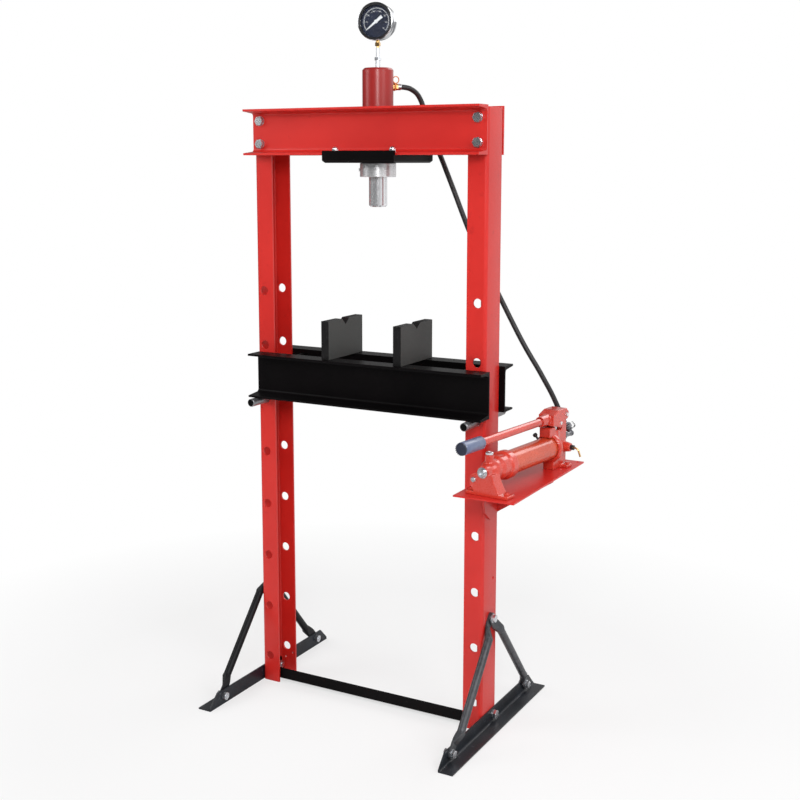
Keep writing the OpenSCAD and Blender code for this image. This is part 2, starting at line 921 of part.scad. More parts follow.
module gauge_bezel() {
    color([0.05, 0.07, 0.16])
        in_gauge()
            translate([0, -12, 0])
                rotate([90, 0, 0])
                    difference() {
                        union() {
                            cylinder(r = gauge_r, h = 8);
                            translate([0, 0, 8])
                                cylinder(r1 = gauge_r, r2 = gauge_r - 3, h = gauge_front - 20);
                        }
                        translate([0, 0, -1])
                            cylinder(r = case_r + run_fit, h = 3);
                        translate([0, 0, 1])
                            cylinder(r = gauge_r - 7, h = gauge_front);
                    }
}

module gauge_dial() {
    color([0.05, 0.07, 0.16])
        in_gauge()
            translate([0, -9.5, 0])
                rotate([90, 0, 0])
                    ring(2 * (case_r - case_wall) - 2 * run_fit, spindle_d + 1, 1.5);
}

module gauge_lens() {
    color([0.85, 0.90, 0.95])
        in_gauge()
            translate([0, -18.5, 0])
                rotate([90, 0, 0])
                    cylinder(r = gauge_r - 7 - run_fit, h = 2);
}

// Movement block with its bourdon tube and link, inside the case
module gauge_movement() {
    tube_r = 30;
    color(brass)
        in_gauge() {
            difference() {
                union() {
                    translate([-9, -6, -movement_drop])
                        cube([18, 14, movement_drop - 14]);
                    translate([-10, -6, -14])
                        cube([20, 10, 24]);
                }
                y_rod(spindle_d + 2 * run_fit, 40);
            }
            translate([0, 9, 0])
                rotate([90, 0, 0])
                    rotate([0, 0, -75])
                        rotate_extrude(angle = 250)
                            translate([tube_r - 2, -3])
                                square([4, 8]);
        }
}

module gauge_needle() {
    color([0.95, 0.95, 0.95])
        in_gauge()
            rotate([0, needle_rest, 0]) {
                translate([0, -5, 0])
                    y_rod(spindle_d, 21);
                translate([0, -13.5, 0])
                    y_rod(9, 3);
                translate([0, -13.2, 0])
                    rotate([90, 0, 0])
                        linear_extrude(1)
                            polygon([[-1, -34], [1, -34], [3.4, 6], [4.2, 20], [-4.2, 20], [-3.4, 6]]);
            }
}

// ---- hose and its fittings ----

// Ring of a swept tube, square to the route at point i
function route_dir(p, i) = unit(p[min(i + 1, len(p) - 1)] - p[max(i - 1, 0)]);

function tube_ring(c, t, r, sides) =
    let (side = unit(cross(t, [0.6, -0.8, 0.1])), up = cross(side, t))
    [for (j = [0:sides - 1]) let (a = 360 * j / sides) c + r * (cos(a) * side + sin(a) * up)];

module hose() {
    n = len(hose_route);
    points = [for (i = [0:n - 1]) each tube_ring(hose_route[i], route_dir(hose_route, i), hose_d / 2, hose_sides)];
    color(black)
        polyhedron(points, tube_faces(n - 1, hose_sides));
}

fitting_len = norm([hose_start[0] - ram_x, hose_start[1]]) - barrel_d / 2;
ferrule_len = 9;

module cylinder_fitting() {
    color(brass)
        translate([ram_x, 0, hose_start[2]])
            along(hose_start_dir)
                translate([0, 0, barrel_d / 2 - 4])
                    difference() {
                        union() {
                            cylinder(d = 6, h = 4.5);
                            translate([0, 0, 4.3])
                                hex(15, fitting_len - ferrule_len - 4.3 + 4);
                        }
                        translate([0, 0, -1])
                            cylinder(d = 3, h = fitting_len + 4);
                    }
}

// Loop of the dust cap that hangs on the cylinder fitting
module fitting_cap() {
    loop_r = 8.5;
    color([0.90, 0.40, 0.12])
        translate([ram_x, 0, hose_start[2]])
            along(hose_start_dir)
                translate([0, 0, barrel_d / 2 + 4.5]) {
                    ring(21, 17.6, 3);
                    translate([-9.6 - loop_r, 1.2, 6])
                        rotate([90, 0, 0])
                            ring(2 * loop_r + 2, 2 * loop_r - 2, 2.4);
                }
}

module hose_ferrules() {
    color([0.25, 0.26, 0.28]) {
        translate(hose_start - ferrule_len * unit(hose_start_dir))
            along(hose_start_dir)
                cylinder(d = hose_d + 3, h = ferrule_len);
        translate(hose_end)
            along(hose_end_dir)
                cylinder(d = hose_d + 3, h = ferrule_len);
    }
}

coupler_len = 21;
elbow_neck = 10;
elbow_at = hose_end + (ferrule_len + coupler_len + elbow_neck) * unit(hose_end_dir);

module hose_coupler() {
    color(zinc)
        translate(hose_end + ferrule_len * unit(hose_end_dir))
            along(hose_end_dir) {
                cylinder(d = 18, h = 5);
                translate([0, 0, 5])
                    cylinder(d = 25, h = 10);
                translate([0, 0, 15])
                    cylinder(d = 19, h = coupler_len - 15);
            }
}

// ---- pump ----

// Pump frame: X' to the right, Y' to the rear along the tank, Z' up from the tray
module in_pump() {
    translate([pump_x, pump_y, tray_z])
        rotate([0, 0, -pump_turn])
            children();
}

function to_pump(p) =
    let (dx = p[0] - pump_x, dy = p[1] - pump_y)
    [dx * cos(pump_turn) - dy * sin(pump_turn), dx * sin(pump_turn) + dy * cos(pump_turn), p[2] - tray_z];

body_front = 96;
body_rear = fulcrum_y + 12;
flange_front = 92;
elbow_local = to_pump(elbow_at);

module outlet_elbow() {
    color([0.55, 0.56, 0.58]) {
        in_pump()
            translate([elbow_local[0], body_rear, elbow_local[2]])
                rotate([-90, 0, 0]) {
                    hex(17, 8);
                    cylinder(d = 13, h = elbow_local[1] - body_rear);
                }
        translate(elbow_at)
            sphere(d = 16);
        translate(elbow_at)
            along(-hose_end_dir)
                cylinder(d = 13, h = elbow_neck);
    }
}

module pump_tray() {
    color(red)
        difference() {
            translate([post_x, -tray_front, tray_z - tray_t])
                cube([tray_w, tray_front + tray_rear, tray_t]);
            for (y = [tray_rear - 13, tray_rear - 87])
                translate([post_x + tray_w - 13, y, tray_z - 2 * tray_t])
                    cylinder(d = 9, h = 3 * tray_t);
            in_pump()
                at_mounts()
                    translate([0, 0, -2 * tray_t])
                        cylinder(d = mount_bolt_d + 2 * hole_play, h = 3 * tray_t);
        }
}

// Folded bracket: a pointed pad on the post's web and a gusset under the tray
module tray_bracket() {
    t = 6;
    top = tray_z - tray_t;
    low = top - bracket_drop;
    color(red) {
        translate([post_x, 0, 0])
            rotate([90, 0, 90])
                linear_extrude(t)
                    polygon([
                        [-58, top], [-58, top - 54], [-50, top - 84], [-18, low], [26, low + 8],
                        [34, low + 14], [34, top]
                    ]);
        translate([post_x, 34, 0])
            rotate([90, 0, 0])
                linear_extrude(t)
                    polygon([[0, low + 6], [0, top], [tray_w - 3, top], [tray_w - 3, top - 4]]);
    }
}

front_foot_y = -226;
foot_left = 50;
foot_right = 68;
foot_pad = 8;
mount_bolt_d = 8;

module at_mounts() {
    for (p = [[10 - foot_left, front_foot_y + 18], [foot_right - 12, front_foot_y + 18], [-26, fulcrum_y], [26, fulcrum_y]])
        translate([p[0], p[1], 0])
            children();
}

module pump_mount_bolts() {
    color(zinc)
        in_pump()
            at_mounts() {
                translate([0, 0, foot_pad])
                    hex(13, 5.5);
                translate([0, 0, -tray_t - 7])
                    cylinder(d = mount_bolt_d, h = foot_pad + tray_t + 7 + eps);
                translate([0, 0, -tray_t - 6.5])
                    hex_nut(mount_bolt_d, 13, 6.5);
            }
}

// Tank tube between the end cap and the pump head
module pump_tank() {
    color(pump_red)
        in_pump()
            translate([0, -125, tank_z])
                rotate([-90, 0, 0])
                    ring(tank_d, tank_d - 2 * tank_wall, 125 + flange_front + 6);
}

// Cast front end of the tank with stepped rings, filler boss and foot
module tank_end_cap() {
    r = tank_d / 2;
    color(pump_red)
        in_pump()
            difference() {
                union() {
                    translate([0, -115, tank_z])
                        rotate([90, 0, 0])
                            rotate_extrude()
                                polygon([
                                    [0, 0], [r + 5, 0], [r + 6, 2], [r + 6, 22], [r + 4, 24], [r + 1, 26],
                                    [r + 1, 52], [r - 1, 58], [r - 3, 62], [r - 3, 74], [r - 5, 82],
                                    [r - 9, 90], [r - 13, 94], [r - 13, 110], [r - 14, 112], [0, 112]
                                ]);
                    translate([0, -196, tank_z])
                        cylinder(d = 22, h = r + 9);
                    translate([0, front_foot_y + 36, 0])
                        rotate([90, 0, 0])
                            linear_extrude(36)
                                polygon([
                                    [-foot_left, 0], [foot_right, 0], [foot_right, foot_pad],
                                    [foot_right - 22, foot_pad], [r, tank_z - 20], [r - 5, tank_z - 4],
                                    [5 - r, tank_z - 4], [-r - 7, tank_z - 12], [-r - 7, tank_z - 34],
                                    [24 - foot_left, foot_pad], [-foot_left, foot_pad]
                                ]);
                }
                translate([0, -127, tank_z])
                    rotate([-90, 0, 0])
                        cylinder(d = tank_d + 2 * run_fit, h = 20);
                translate([0, -200, tank_z])
                    rotate([-90, 0, 0])
                        cylinder(d = 36, h = 90);
                translate([0, -196, tank_z])
                    cylinder(d = 13, h = r + 20);
                translate([0, -240, tank_z])
                    rotate([-90, 0, 0])
                        cylinder(d = 17, h = 50);
                at_mounts()
                    cylinder(d = mount_bolt_d + 2 * hole_play, h = 3 * foot_pad, center = true);
            }
}

// Drain plug in the cap's nose, filler screw on top and bleed screw at its left
module tank_plugs() {
    nose_y = -227;
    color(zinc)
        in_pump() {
            translate([0, nose_y, tank_z])
                rotate([90, 0, 0]) {
                    cylinder(d = 27, h = 3);
                    cylinder(d = 21, h = 8);
                }
            translate([0, nose_y + 26, tank_z])
                rotate([90, 0, 0])
                    cylinder(d = 17 - 2 * run_fit, h = 26 + eps);
            translate([0, -196, tank_z + tank_d / 2 - 4])
                cylinder(d = 13 - 2 * run_fit, h = 13 + eps);
            translate([0, -196, tank_z + tank_d / 2 + 9])
                chamfered_rod(19, 7, 1.5);
            translate([-25, front_foot_y, tank_z - 20])
                rotate([90, 0, 0])
                    cylinder(d = 13, h = 5);
        }
}

module vent_knob() {
    color(black)
        in_pump()
            translate([0, 78, tank_z])
                rotate([0, -42, 0]) {
                    translate([0, 0, tank_d / 2])
                        cylinder(d = 6, h = 10.5);
                    translate([0, 0, tank_d / 2 + 10])
                        chamfered_rod(12, 9, 2);
                }
}

// Cast head: tank flange, body with the pump bore, valve boss and the tongue for the fulcrum
module pump_head() {
    tongue_r = 12;
    web_front = 74;
    web_rear = plunger_y - 13.4;
    web_low = tank_z + tank_d / 2 + 0.3;
    color(pump_red)
        in_pump()
            difference() {
                union() {
                    translate([0, flange_front, tank_z])
                        rotate([-90, 0, 0])
                            rotate_extrude()
                                polygon([
                                    [0, 0], [tank_d / 2 + 4, 0], [tank_d / 2 + 8, 4], [tank_d / 2 + 8, 14],
                                    [tank_d / 2 + 2, 22], [tank_d / 2 - 9, 27], [0, 27]
                                ]);
                    translate([body_w / 2, 0, 0])
                        rotate([0, -90, 0])
                            linear_extrude(body_w)
                                polygon([
                                    [0, body_front], [0, body_rear], [fulcrum_z, body_rear],
                                    [fulcrum_z, fulcrum_y - tongue_r], [104, fulcrum_y - tongue_r],
                                    [98, fulcrum_y - 22], [98, web_rear], [114, web_rear], [114, web_front],
                                    [web_low, web_front], [web_low, body_front]
                                ]);
                    translate([0, fulcrum_y, fulcrum_z])
                        x_rod(2 * tongue_r, body_w);
                    translate([0, plunger_y, 30])
                        cylinder(d = 34, h = 73);
                    translate([-34, fulcrum_y - 16, 0])
                        cube([68, body_rear - fulcrum_y + 16, foot_pad]);
                    translate([body_w / 2 - 8, valve_y - 4, valve_z])
                        rotate([0, 90, 0])
                            cylinder(d1 = 32, d2 = 22, h = 30);
                }
                translate([0, flange_front - 1, tank_z])
                    rotate([-90, 0, 0])
                        cylinder(d = tank_d + 2 * run_fit, h = 7);
                translate([0, flange_front - 1, tank_z])
                    rotate([-90, 0, 0])
                        cylinder(d = 34, h = 8);
                translate([0, plunger_y, 24])
                    cylinder(d = plunger_d + 2 * run_fit, h = 100);
                translate([0, fulcrum_y, fulcrum_z])
                    x_rod(fulcrum_d + 2 * run_fit, body_w + 2);
                translate([body_w / 2 + 6, valve_y - 4, valve_z])
                    rotate([0, 90, 0])
                        cylinder(d = 10 + 2 * run_fit, h = 40);
                at_mounts()
                    cylinder(d = mount_bolt_d + 2 * hole_play, h = 3 * foot_pad, center = true);
            }
}

module fulcrum_pin() {
    color(zinc)
        in_pump()
            translate([-cheek_out - 3, fulcrum_y, fulcrum_z])
                rotate([0, 90, 0])
                    cylinder(d = fulcrum_d, h = 2 * cheek_out + 6);
}

// Hand lever: socket for the handle, hood and two cheeks that straddle the pump head
module pump_lever() {
    hood_z = fulcrum_z + 13;
    color(pump_red)
        in_pump()
            difference() {
                union() {
                    for (x = [-cheek_out, cheek_in])
                        translate([x + cheek_out - cheek_in, 0, 0])
                            rotate([0, -90, 0])
                                linear_extrude(cheek_out - cheek_in)
                                    polygon(lever_outline(hood_z));
                    translate([cheek_out, 0, 0])
                        rotate([0, -90, 0])
                            linear_extrude(2 * cheek_out)
                                polygon([
                                    [hood_z, 98], [hood_z, fulcrum_y + 2], [hood_z + 4, fulcrum_y],
                                    [hood_z + 4, 108], [handle_z + 13, 80], [handle_z - 15, 80],
                                    [handle_z - 18, 100], [handle_z - 4, 100]
                                ]);
                    translate([0, 46, handle_z])
                        rotate([-90, 0, 0])
                            cylinder(d1 = 27, d2 = 31, h = 42);
                }
                translate([0, 34, handle_z])
                    rotate([-90, 0, 0])
                        cylinder(d = handle_d + 2 * run_fit, h = 58);
                for (p = [[fulcrum_y, fulcrum_z, fulcrum_d], [drive_y, drive_z, drive_pin_d]])
                    translate([0, p[0], p[1]])
                        x_rod(p[2] + 2 * run_fit, 3 * cheek_out);
            }
}

// Side view of a cheek, as (height, distance along the pump)
function lever_outline(hood_z) = concat(
    [[handle_z - 15, 82], [handle_z + 13, 82], [hood_z + 4, 108], [hood_z + 4, fulcrum_y]],
    arc(fulcrum_z, fulcrum_y, 13, 20, 90),
    arc(fulcrum_z, fulcrum_y, 13, 90, 200),
    [[drive_z - 10, drive_y + 7], [drive_z - 12, drive_y], [drive_z - 10, drive_y - 9], [handle_z - 18, 100]]
);

module drive_pin() {
    color(zinc)
        in_pump()
            translate([-cheek_out - 2, drive_y, drive_z])
                rotate([0, 90, 0])
                    cylinder(d = drive_pin_d, h = 2 * cheek_out + 4);
}

module plunger() {
    swing = lever_arm * (1 - cos(drive_drop)) / 2;
    slot_play = 0.6;
    slot_h = drive_pin_d + 2 * slot_play;
    head_w = 2 * (swing + drive_pin_d / 2 + slot_play + 4);
    color([0.75, 0.75, 0.76])
        in_pump()
            difference() {
                union() {
                    translate([0, plunger_y, 32])
                        cylinder(d = plunger_d, h = drive_z - 9 - 32);
                    translate([-9, plunger_y - head_w / 2, drive_z - 11])
                        cube([18, head_w, 22]);
                }
                translate([10, plunger_y, drive_z])
                    rotate([0, -90, 0])
                        linear_extrude(20)
                            polygon(concat(
                                arc(0, swing, slot_h / 2, 0, 180, 16),
                                arc(0, -swing, slot_h / 2, 180, 360, 16)
                            ));
            }
}

module handle_tube() {
    color(pump_red)
        in_pump()
            translate([0, -310, handle_z])
                rotate([-90, 0, 0])
                    ring(handle_d, handle_d - 5, 310 + 92);
}

module handle_grip() {
    color([0.27, 0.31, 0.42])
        in_pump()
            translate([0, grip_len - 325, handle_z])
                rotate([90, 0, 0])
                    difference() {
                        chamfered_rod(grip_d, grip_len, 2);
                        translate([0, 0, -1])
                            cylinder(d = handle_d + 2 * run_fit, h = grip_len - 13.8);
                    }
}

// Release valve: stem in the side boss and its bent hand lever
stem_x = body_w / 2 + 8;

module release_spindle() {
    color(black)
        in_pump()
            translate([stem_x, valve_y - 4, valve_z])
                rotate([0, 90, 0])
                    difference() {
                        union() {
                            cylinder(d = 10, h = 20);
                            translate([0, 0, 14.5])
                                cylinder(d = 13, h = 8);
                        }
                        translate([0, 0, 15])
                            cylinder(d = 5 + 2 * run_fit, h = 10);
                    }
}

module release_lever() {
    straight = 9;
    bend = 13;
    tip = 14;
    dip = 20;
    half_t = 1.75;
    turn = [sin(dip), -cos(dip)];
    outer = arc(straight, -bend, bend + half_t, 90, dip);
    inner = arc(straight, -bend, bend - half_t, dip, 90);
    color(brass)
        in_pump()
            translate([stem_x + 15.5, valve_y - 4 + half_t, valve_z])
                rotate([90, 0, 0])
                    linear_extrude(2 * half_t)
                        polygon(concat([[0, half_t]], outer, [outer[6] + tip * turn, inner[0] + tip * turn], inner, [[0, -half_t]]));
}

// ---- bolster, blocks and pins ----

module bolster_channel() {
    translate([bolster_x, bolster_web_y, bolster_z])
        channel(bolster_len);
}

module bolster_channel_front() {
    color(black)
        mirror([0, 1, 0])
            bolster_channel();
}

module bolster_channel_rear() {
    color(black)
        bolster_channel();
}

module bolster_spacers() {
    color(black)
        for (side = [-1, 1])
            translate([bolster_x + side * spacer_x - spacer_t / 2, -bolster_web_y, bolster_z + 10])
                cube([spacer_t, 2 * bolster_web_y, channel_h - 20]);
}

// Plate on edge across the bolster, with a V in its top
module v_block(x, v_w, v_depth) {
    bottom = bolster_z + channel_h;
    top = bottom + block_h;
    color([0.28, 0.27, 0.27])
        translate([bolster_x + x - block_t / 2, 0, 0])
            rotate([90, 0, 90])
                linear_extrude(block_t)
                    polygon([
                        [-block_len / 2, bottom], [block_len / 2, bottom], [block_len / 2, top],
                        [v_w / 2, top], [0, top - v_depth], [-v_w / 2, top], [-block_len / 2, top]
                    ]);
}

module v_block_left() {
    v_block(-block_x, left_v_w, left_v_depth);
}

module v_block_right() {
    v_block(block_x, right_v_w, right_v_depth);
}

module support_pin(side) {
    color([0.60, 0.61, 0.62])
        translate([side * hole_x, pin_len / 2, pin_rest_z])
            rotate([90, 0, 0])
                chamfered_rod(pin_d, pin_len, 2);
}

module support_pin_left() {
    support_pin(-1);
}

module support_pin_right() {
    support_pin(1);
}

left_post();
right_post();
head_channel_front();
head_channel_rear();
frame_bolts();
frame_washers();
frame_nuts();
base_rail();
left_foot();
right_foot();
left_braces();
right_braces();
ram_plate();
ram_plate_bolts();
cylinder_barrel();
lock_collar();
collar_set_screw();
rod_guide();
rod_seal();
gauge_adapter();
gauge_stem();
gauge_case();
gauge_bezel();
gauge_dial();
gauge_lens();
gauge_movement();
cylinder_fitting();
fitting_cap();
hose();
hose_ferrules();
hose_coupler();
outlet_elbow();
pump_tray();
tray_bracket();
pump_head();
pump_tank();
tank_end_cap();
tank_plugs();
pump_mount_bolts();
vent_knob();
fulcrum_pin();
ram_rod();
piston();
piston_seal();
return_spring();
bolster_channel_front();
bolster_channel_rear();
bolster_spacers();
v_block_left();
v_block_right();
support_pin_left();
support_pin_right();
pump_lever();
handle_tube();
handle_grip();
drive_pin();
plunger();
release_spindle();
release_lever();
gauge_needle();
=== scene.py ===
import json
import math

import bmesh
import bpy
from mathutils import Matrix, Vector


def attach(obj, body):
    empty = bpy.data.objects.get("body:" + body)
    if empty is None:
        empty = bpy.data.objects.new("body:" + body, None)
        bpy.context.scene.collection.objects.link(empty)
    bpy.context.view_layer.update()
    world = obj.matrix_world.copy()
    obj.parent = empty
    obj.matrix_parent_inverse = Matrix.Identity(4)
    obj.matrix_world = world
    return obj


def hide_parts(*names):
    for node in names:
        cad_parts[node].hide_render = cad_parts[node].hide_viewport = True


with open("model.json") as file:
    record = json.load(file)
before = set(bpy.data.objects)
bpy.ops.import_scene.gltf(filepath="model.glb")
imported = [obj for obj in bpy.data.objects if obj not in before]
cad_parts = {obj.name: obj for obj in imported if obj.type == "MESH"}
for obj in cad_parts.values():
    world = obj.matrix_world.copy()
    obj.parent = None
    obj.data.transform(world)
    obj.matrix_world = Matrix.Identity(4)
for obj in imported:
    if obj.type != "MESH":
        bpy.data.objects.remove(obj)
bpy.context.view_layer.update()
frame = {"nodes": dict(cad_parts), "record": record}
nodes = frame["nodes"]
print("frame loaded,", len(nodes), "parts")


# camera

cameraSetup = {
    "place": (1.608, -2.8015, 1.4738),
    "turn": 28.96,  # degrees to the left of straight ahead
    "tilt": 8.89,  # degrees below level
    "lens": 55.28,
    "shift": (0.0082, -0.058),
}

camera = bpy.data.objects.new("camera", bpy.data.cameras.new("camera"))
camera.data.lens = cameraSetup["lens"]
camera.data.shift_x, camera.data.shift_y = cameraSetup["shift"]
camera.location = cameraSetup["place"]
camera.rotation_euler = (math.radians(90 - cameraSetup["tilt"]), 0, math.radians(cameraSetup["turn"]))
bpy.context.scene.collection.objects.link(camera)
bpy.context.scene.camera = camera
bpy.context.scene.view_settings.view_transform = "Standard"


# mesh helpers

def addObject(name, mesh):
    piece = bpy.data.objects.new(name, mesh)
    bpy.context.scene.collection.objects.link(piece)
    return piece


def meshFrom(bm, name, sharpAngle=35):
    mesh = bpy.data.meshes.new(name)
    bm.to_mesh(mesh)
    bm.free()
    mesh.shade_smooth()
    mesh.set_sharp_from_angle(angle=math.radians(sharpAngle))
    return mesh


def pieceFrom(bm, name, body, finish, sharpAngle=35):
    piece = addObject(name, meshFrom(bm, name, sharpAngle))
    piece.data.materials.append(finish)
    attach(piece, body)
    return piece


def settleModifiers(piece):
    # leaves the piece with the mesh that its modifiers make
    graph = bpy.context.evaluated_depsgraph_get()
    made = bpy.data.meshes.new_from_object(piece.evaluated_get(graph))
    piece.modifiers.clear()
    piece.data = made


def copyPart(partName):
    bm = bmesh.new()
    bm.from_mesh(nodes[partName].data)
    bmesh.ops.remove_doubles(bm, verts=bm.verts, dist=0.000004)
    return bm


def placeAt(origin, direction):
    # matrix that carries local +Z onto a direction at a place
    return Matrix.Translation(origin) @ Vector(direction).to_track_quat("Z", "Y").to_matrix().to_4x4()


def freshVerts(bm):
    # the points added since the last placeFresh
    return [vert for vert in bm.verts if not vert.tag]


def placeFresh(bm, matrix):
    fresh = freshVerts(bm)
    bmesh.ops.transform(bm, matrix=matrix, verts=fresh)
    for vert in fresh:
        vert.tag = True


def addLathe(bm, profile, matrix, steps=48):
    # turns a (radius, height) outline once round local Z
    verts = [bm.verts.new((radius, 0, height)) for radius, height in profile]
    edges = [bm.edges.new(pair) for pair in zip(verts, verts[1:])]
    bmesh.ops.spin(bm, geom=verts + edges, cent=(0, 0, 0), axis=(0, 0, 1),
                   angle=2 * math.pi, steps=steps, use_merge=True, use_duplicate=False)
    bmesh.ops.remove_doubles(bm, verts=freshVerts(bm), dist=0.000002)
    faces = [face for face in bm.faces if not face.verts[0].tag]
    bmesh.ops.recalc_face_normals(bm, faces=faces)
    placeFresh(bm, matrix)


# pump frame: x to the right, y to the rear along the tank, z up from the tray

pumpFrame = Matrix.Translation((0.440, 0.024, 0.681)) @ Matrix.Rotation(math.radians(-7), 4, "Z")


def fromPump(x, y, z):
    return pumpFrame @ Vector((x, y, z))


def alongPump(x, y, z):
    return pumpFrame.to_3x3() @ Vector((x, y, z))


# finishes

def makeFinish(name, settings):
    material = bpy.data.materials.new(name)
    material.use_nodes = True
    tree = material.node_tree
    shader = tree.nodes["Principled BSDF"]
    coordinate = tree.nodes.new("ShaderNodeTexCoord")
    mapping = tree.nodes.new("ShaderNodeMapping")
    mapping.inputs["Scale"].default_value = settings.get("stretch", (1, 1, 1))
    tree.links.new(coordinate.outputs["Object"], mapping.inputs["Vector"])

    def addNoise(scale, detail):
        noise = tree.nodes.new("ShaderNodeTexNoise")
        noise.inputs["Scale"].default_value = scale
        noise.inputs["Detail"].default_value = detail
        tree.links.new(mapping.outputs["Vector"], noise.inputs["Vector"])
        return noise.outputs["Fac"]

    def addRange(value, low, high, fromLow=0.3, fromHigh=0.7):
        node = tree.nodes.new("ShaderNodeMapRange")
        node.inputs["From Min"].default_value = fromLow
        node.inputs["From Max"].default_value = fromHigh
        node.inputs["To Min"].default_value = low
        node.inputs["To Max"].default_value = high
        tree.links.new(value, node.inputs["Value"])
        return node.outputs["Result"]

    def addMix(factor, first, second):
        node = tree.nodes.new("ShaderNodeMix")
        node.data_type = "RGBA"
        tree.links.new(factor, node.inputs["Factor"])
        for socket, value in ((node.inputs[6], first), (node.inputs[7], second)):
            if isinstance(value, tuple):
                socket.default_value = (*value, 1)
            else:
                tree.links.new(value, socket)
        return node.outputs[2]

    # broad drift of tone, then a finer grain
    tone = addRange(addNoise(settings.get("toneScale", 5), 3), 0, 1)
    colour = addMix(tone, settings["deep"], settings["light"])
    grain = addNoise(settings["grainScale"], settings.get("grainDetail", 2))
    if "cells" in settings:
        cells = tree.nodes.new("ShaderNodeTexVoronoi")
        cells.inputs["Scale"].default_value = settings["cells"]
        tree.links.new(mapping.outputs["Vector"], cells.inputs["Vector"])
        split = tree.nodes.new("ShaderNodeSeparateColor")
        tree.links.new(cells.outputs["Color"], split.inputs["Color"])
        patch = addRange(split.outputs["Red"], 0, settings.get("cellStrength", 0.6), 0, 1)
        colour = addMix(patch, colour, settings["cellColour"])
    if "speck" in settings:
        # marks from a noise: sparse rubbed spots and grime on most finishes, and on the gauge case broad dark
        # streaks that are a painted reflection
        speck = addRange(addNoise(settings["speckScale"], 8), 0, settings.get("speckStrength", 0.8),
                         settings["speckFrom"], settings["speckFrom"] + 0.08)
        colour = addMix(speck, colour, settings["speck"])
    if "dust" in settings:
        # a thin film on faces that look up
        normal = tree.nodes.new("ShaderNodeNewGeometry")
        split = tree.nodes.new("ShaderNodeSeparateXYZ")
        tree.links.new(normal.outputs["Normal"], split.inputs["Vector"])
        film = addRange(split.outputs["Z"], 0, settings["dust"], 0.5, 1)
        colour = addMix(film, colour, settings.get("dustColour", (0.62, 0.58, 0.55)))
    if "faceAxis" in settings:
        # faces square to one axis get another colour: on the V-blocks a painted reflection that lightens the
        # +X faces, on the pins near-black end faces
        split = tree.nodes.new("ShaderNodeSeparateXYZ")
        tree.links.new(coordinate.outputs["Normal"], split.inputs["Vector"])
        size = tree.nodes.new("ShaderNodeMath")
        size.operation = "ABSOLUTE"
        tree.links.new(split.outputs[settings["faceAxis"]], size.inputs[0])
        colour = addMix(addRange(size.outputs[0], 0, 1, 0.80, 0.95), colour, settings["faceColour"])
    tree.links.new(colour, shader.inputs["Base Color"])
    tree.links.new(addRange(grain, settings["rough"][0], settings["rough"][1]), shader.inputs["Roughness"])
    bump = tree.nodes.new("ShaderNodeBump")
    bump.inputs["Strength"].default_value = settings.get("bumpStrength", 0.3)
    bump.inputs["Distance"].default_value = settings["bump"]
    tree.links.new(grain, bump.inputs["Height"])
    tree.links.new(bump.outputs["Normal"], shader.inputs["Normal"])
    shader.inputs["Metallic"].default_value = settings.get("metal", 0)
    shader.inputs["Coat Weight"].default_value = settings.get("coat", 0)
    shader.inputs["Coat Roughness"].default_value = settings.get("coatRough", 0.08)
    shader.inputs["Specular IOR Level"].default_value = settings.get("specular", 0.5)
    return material


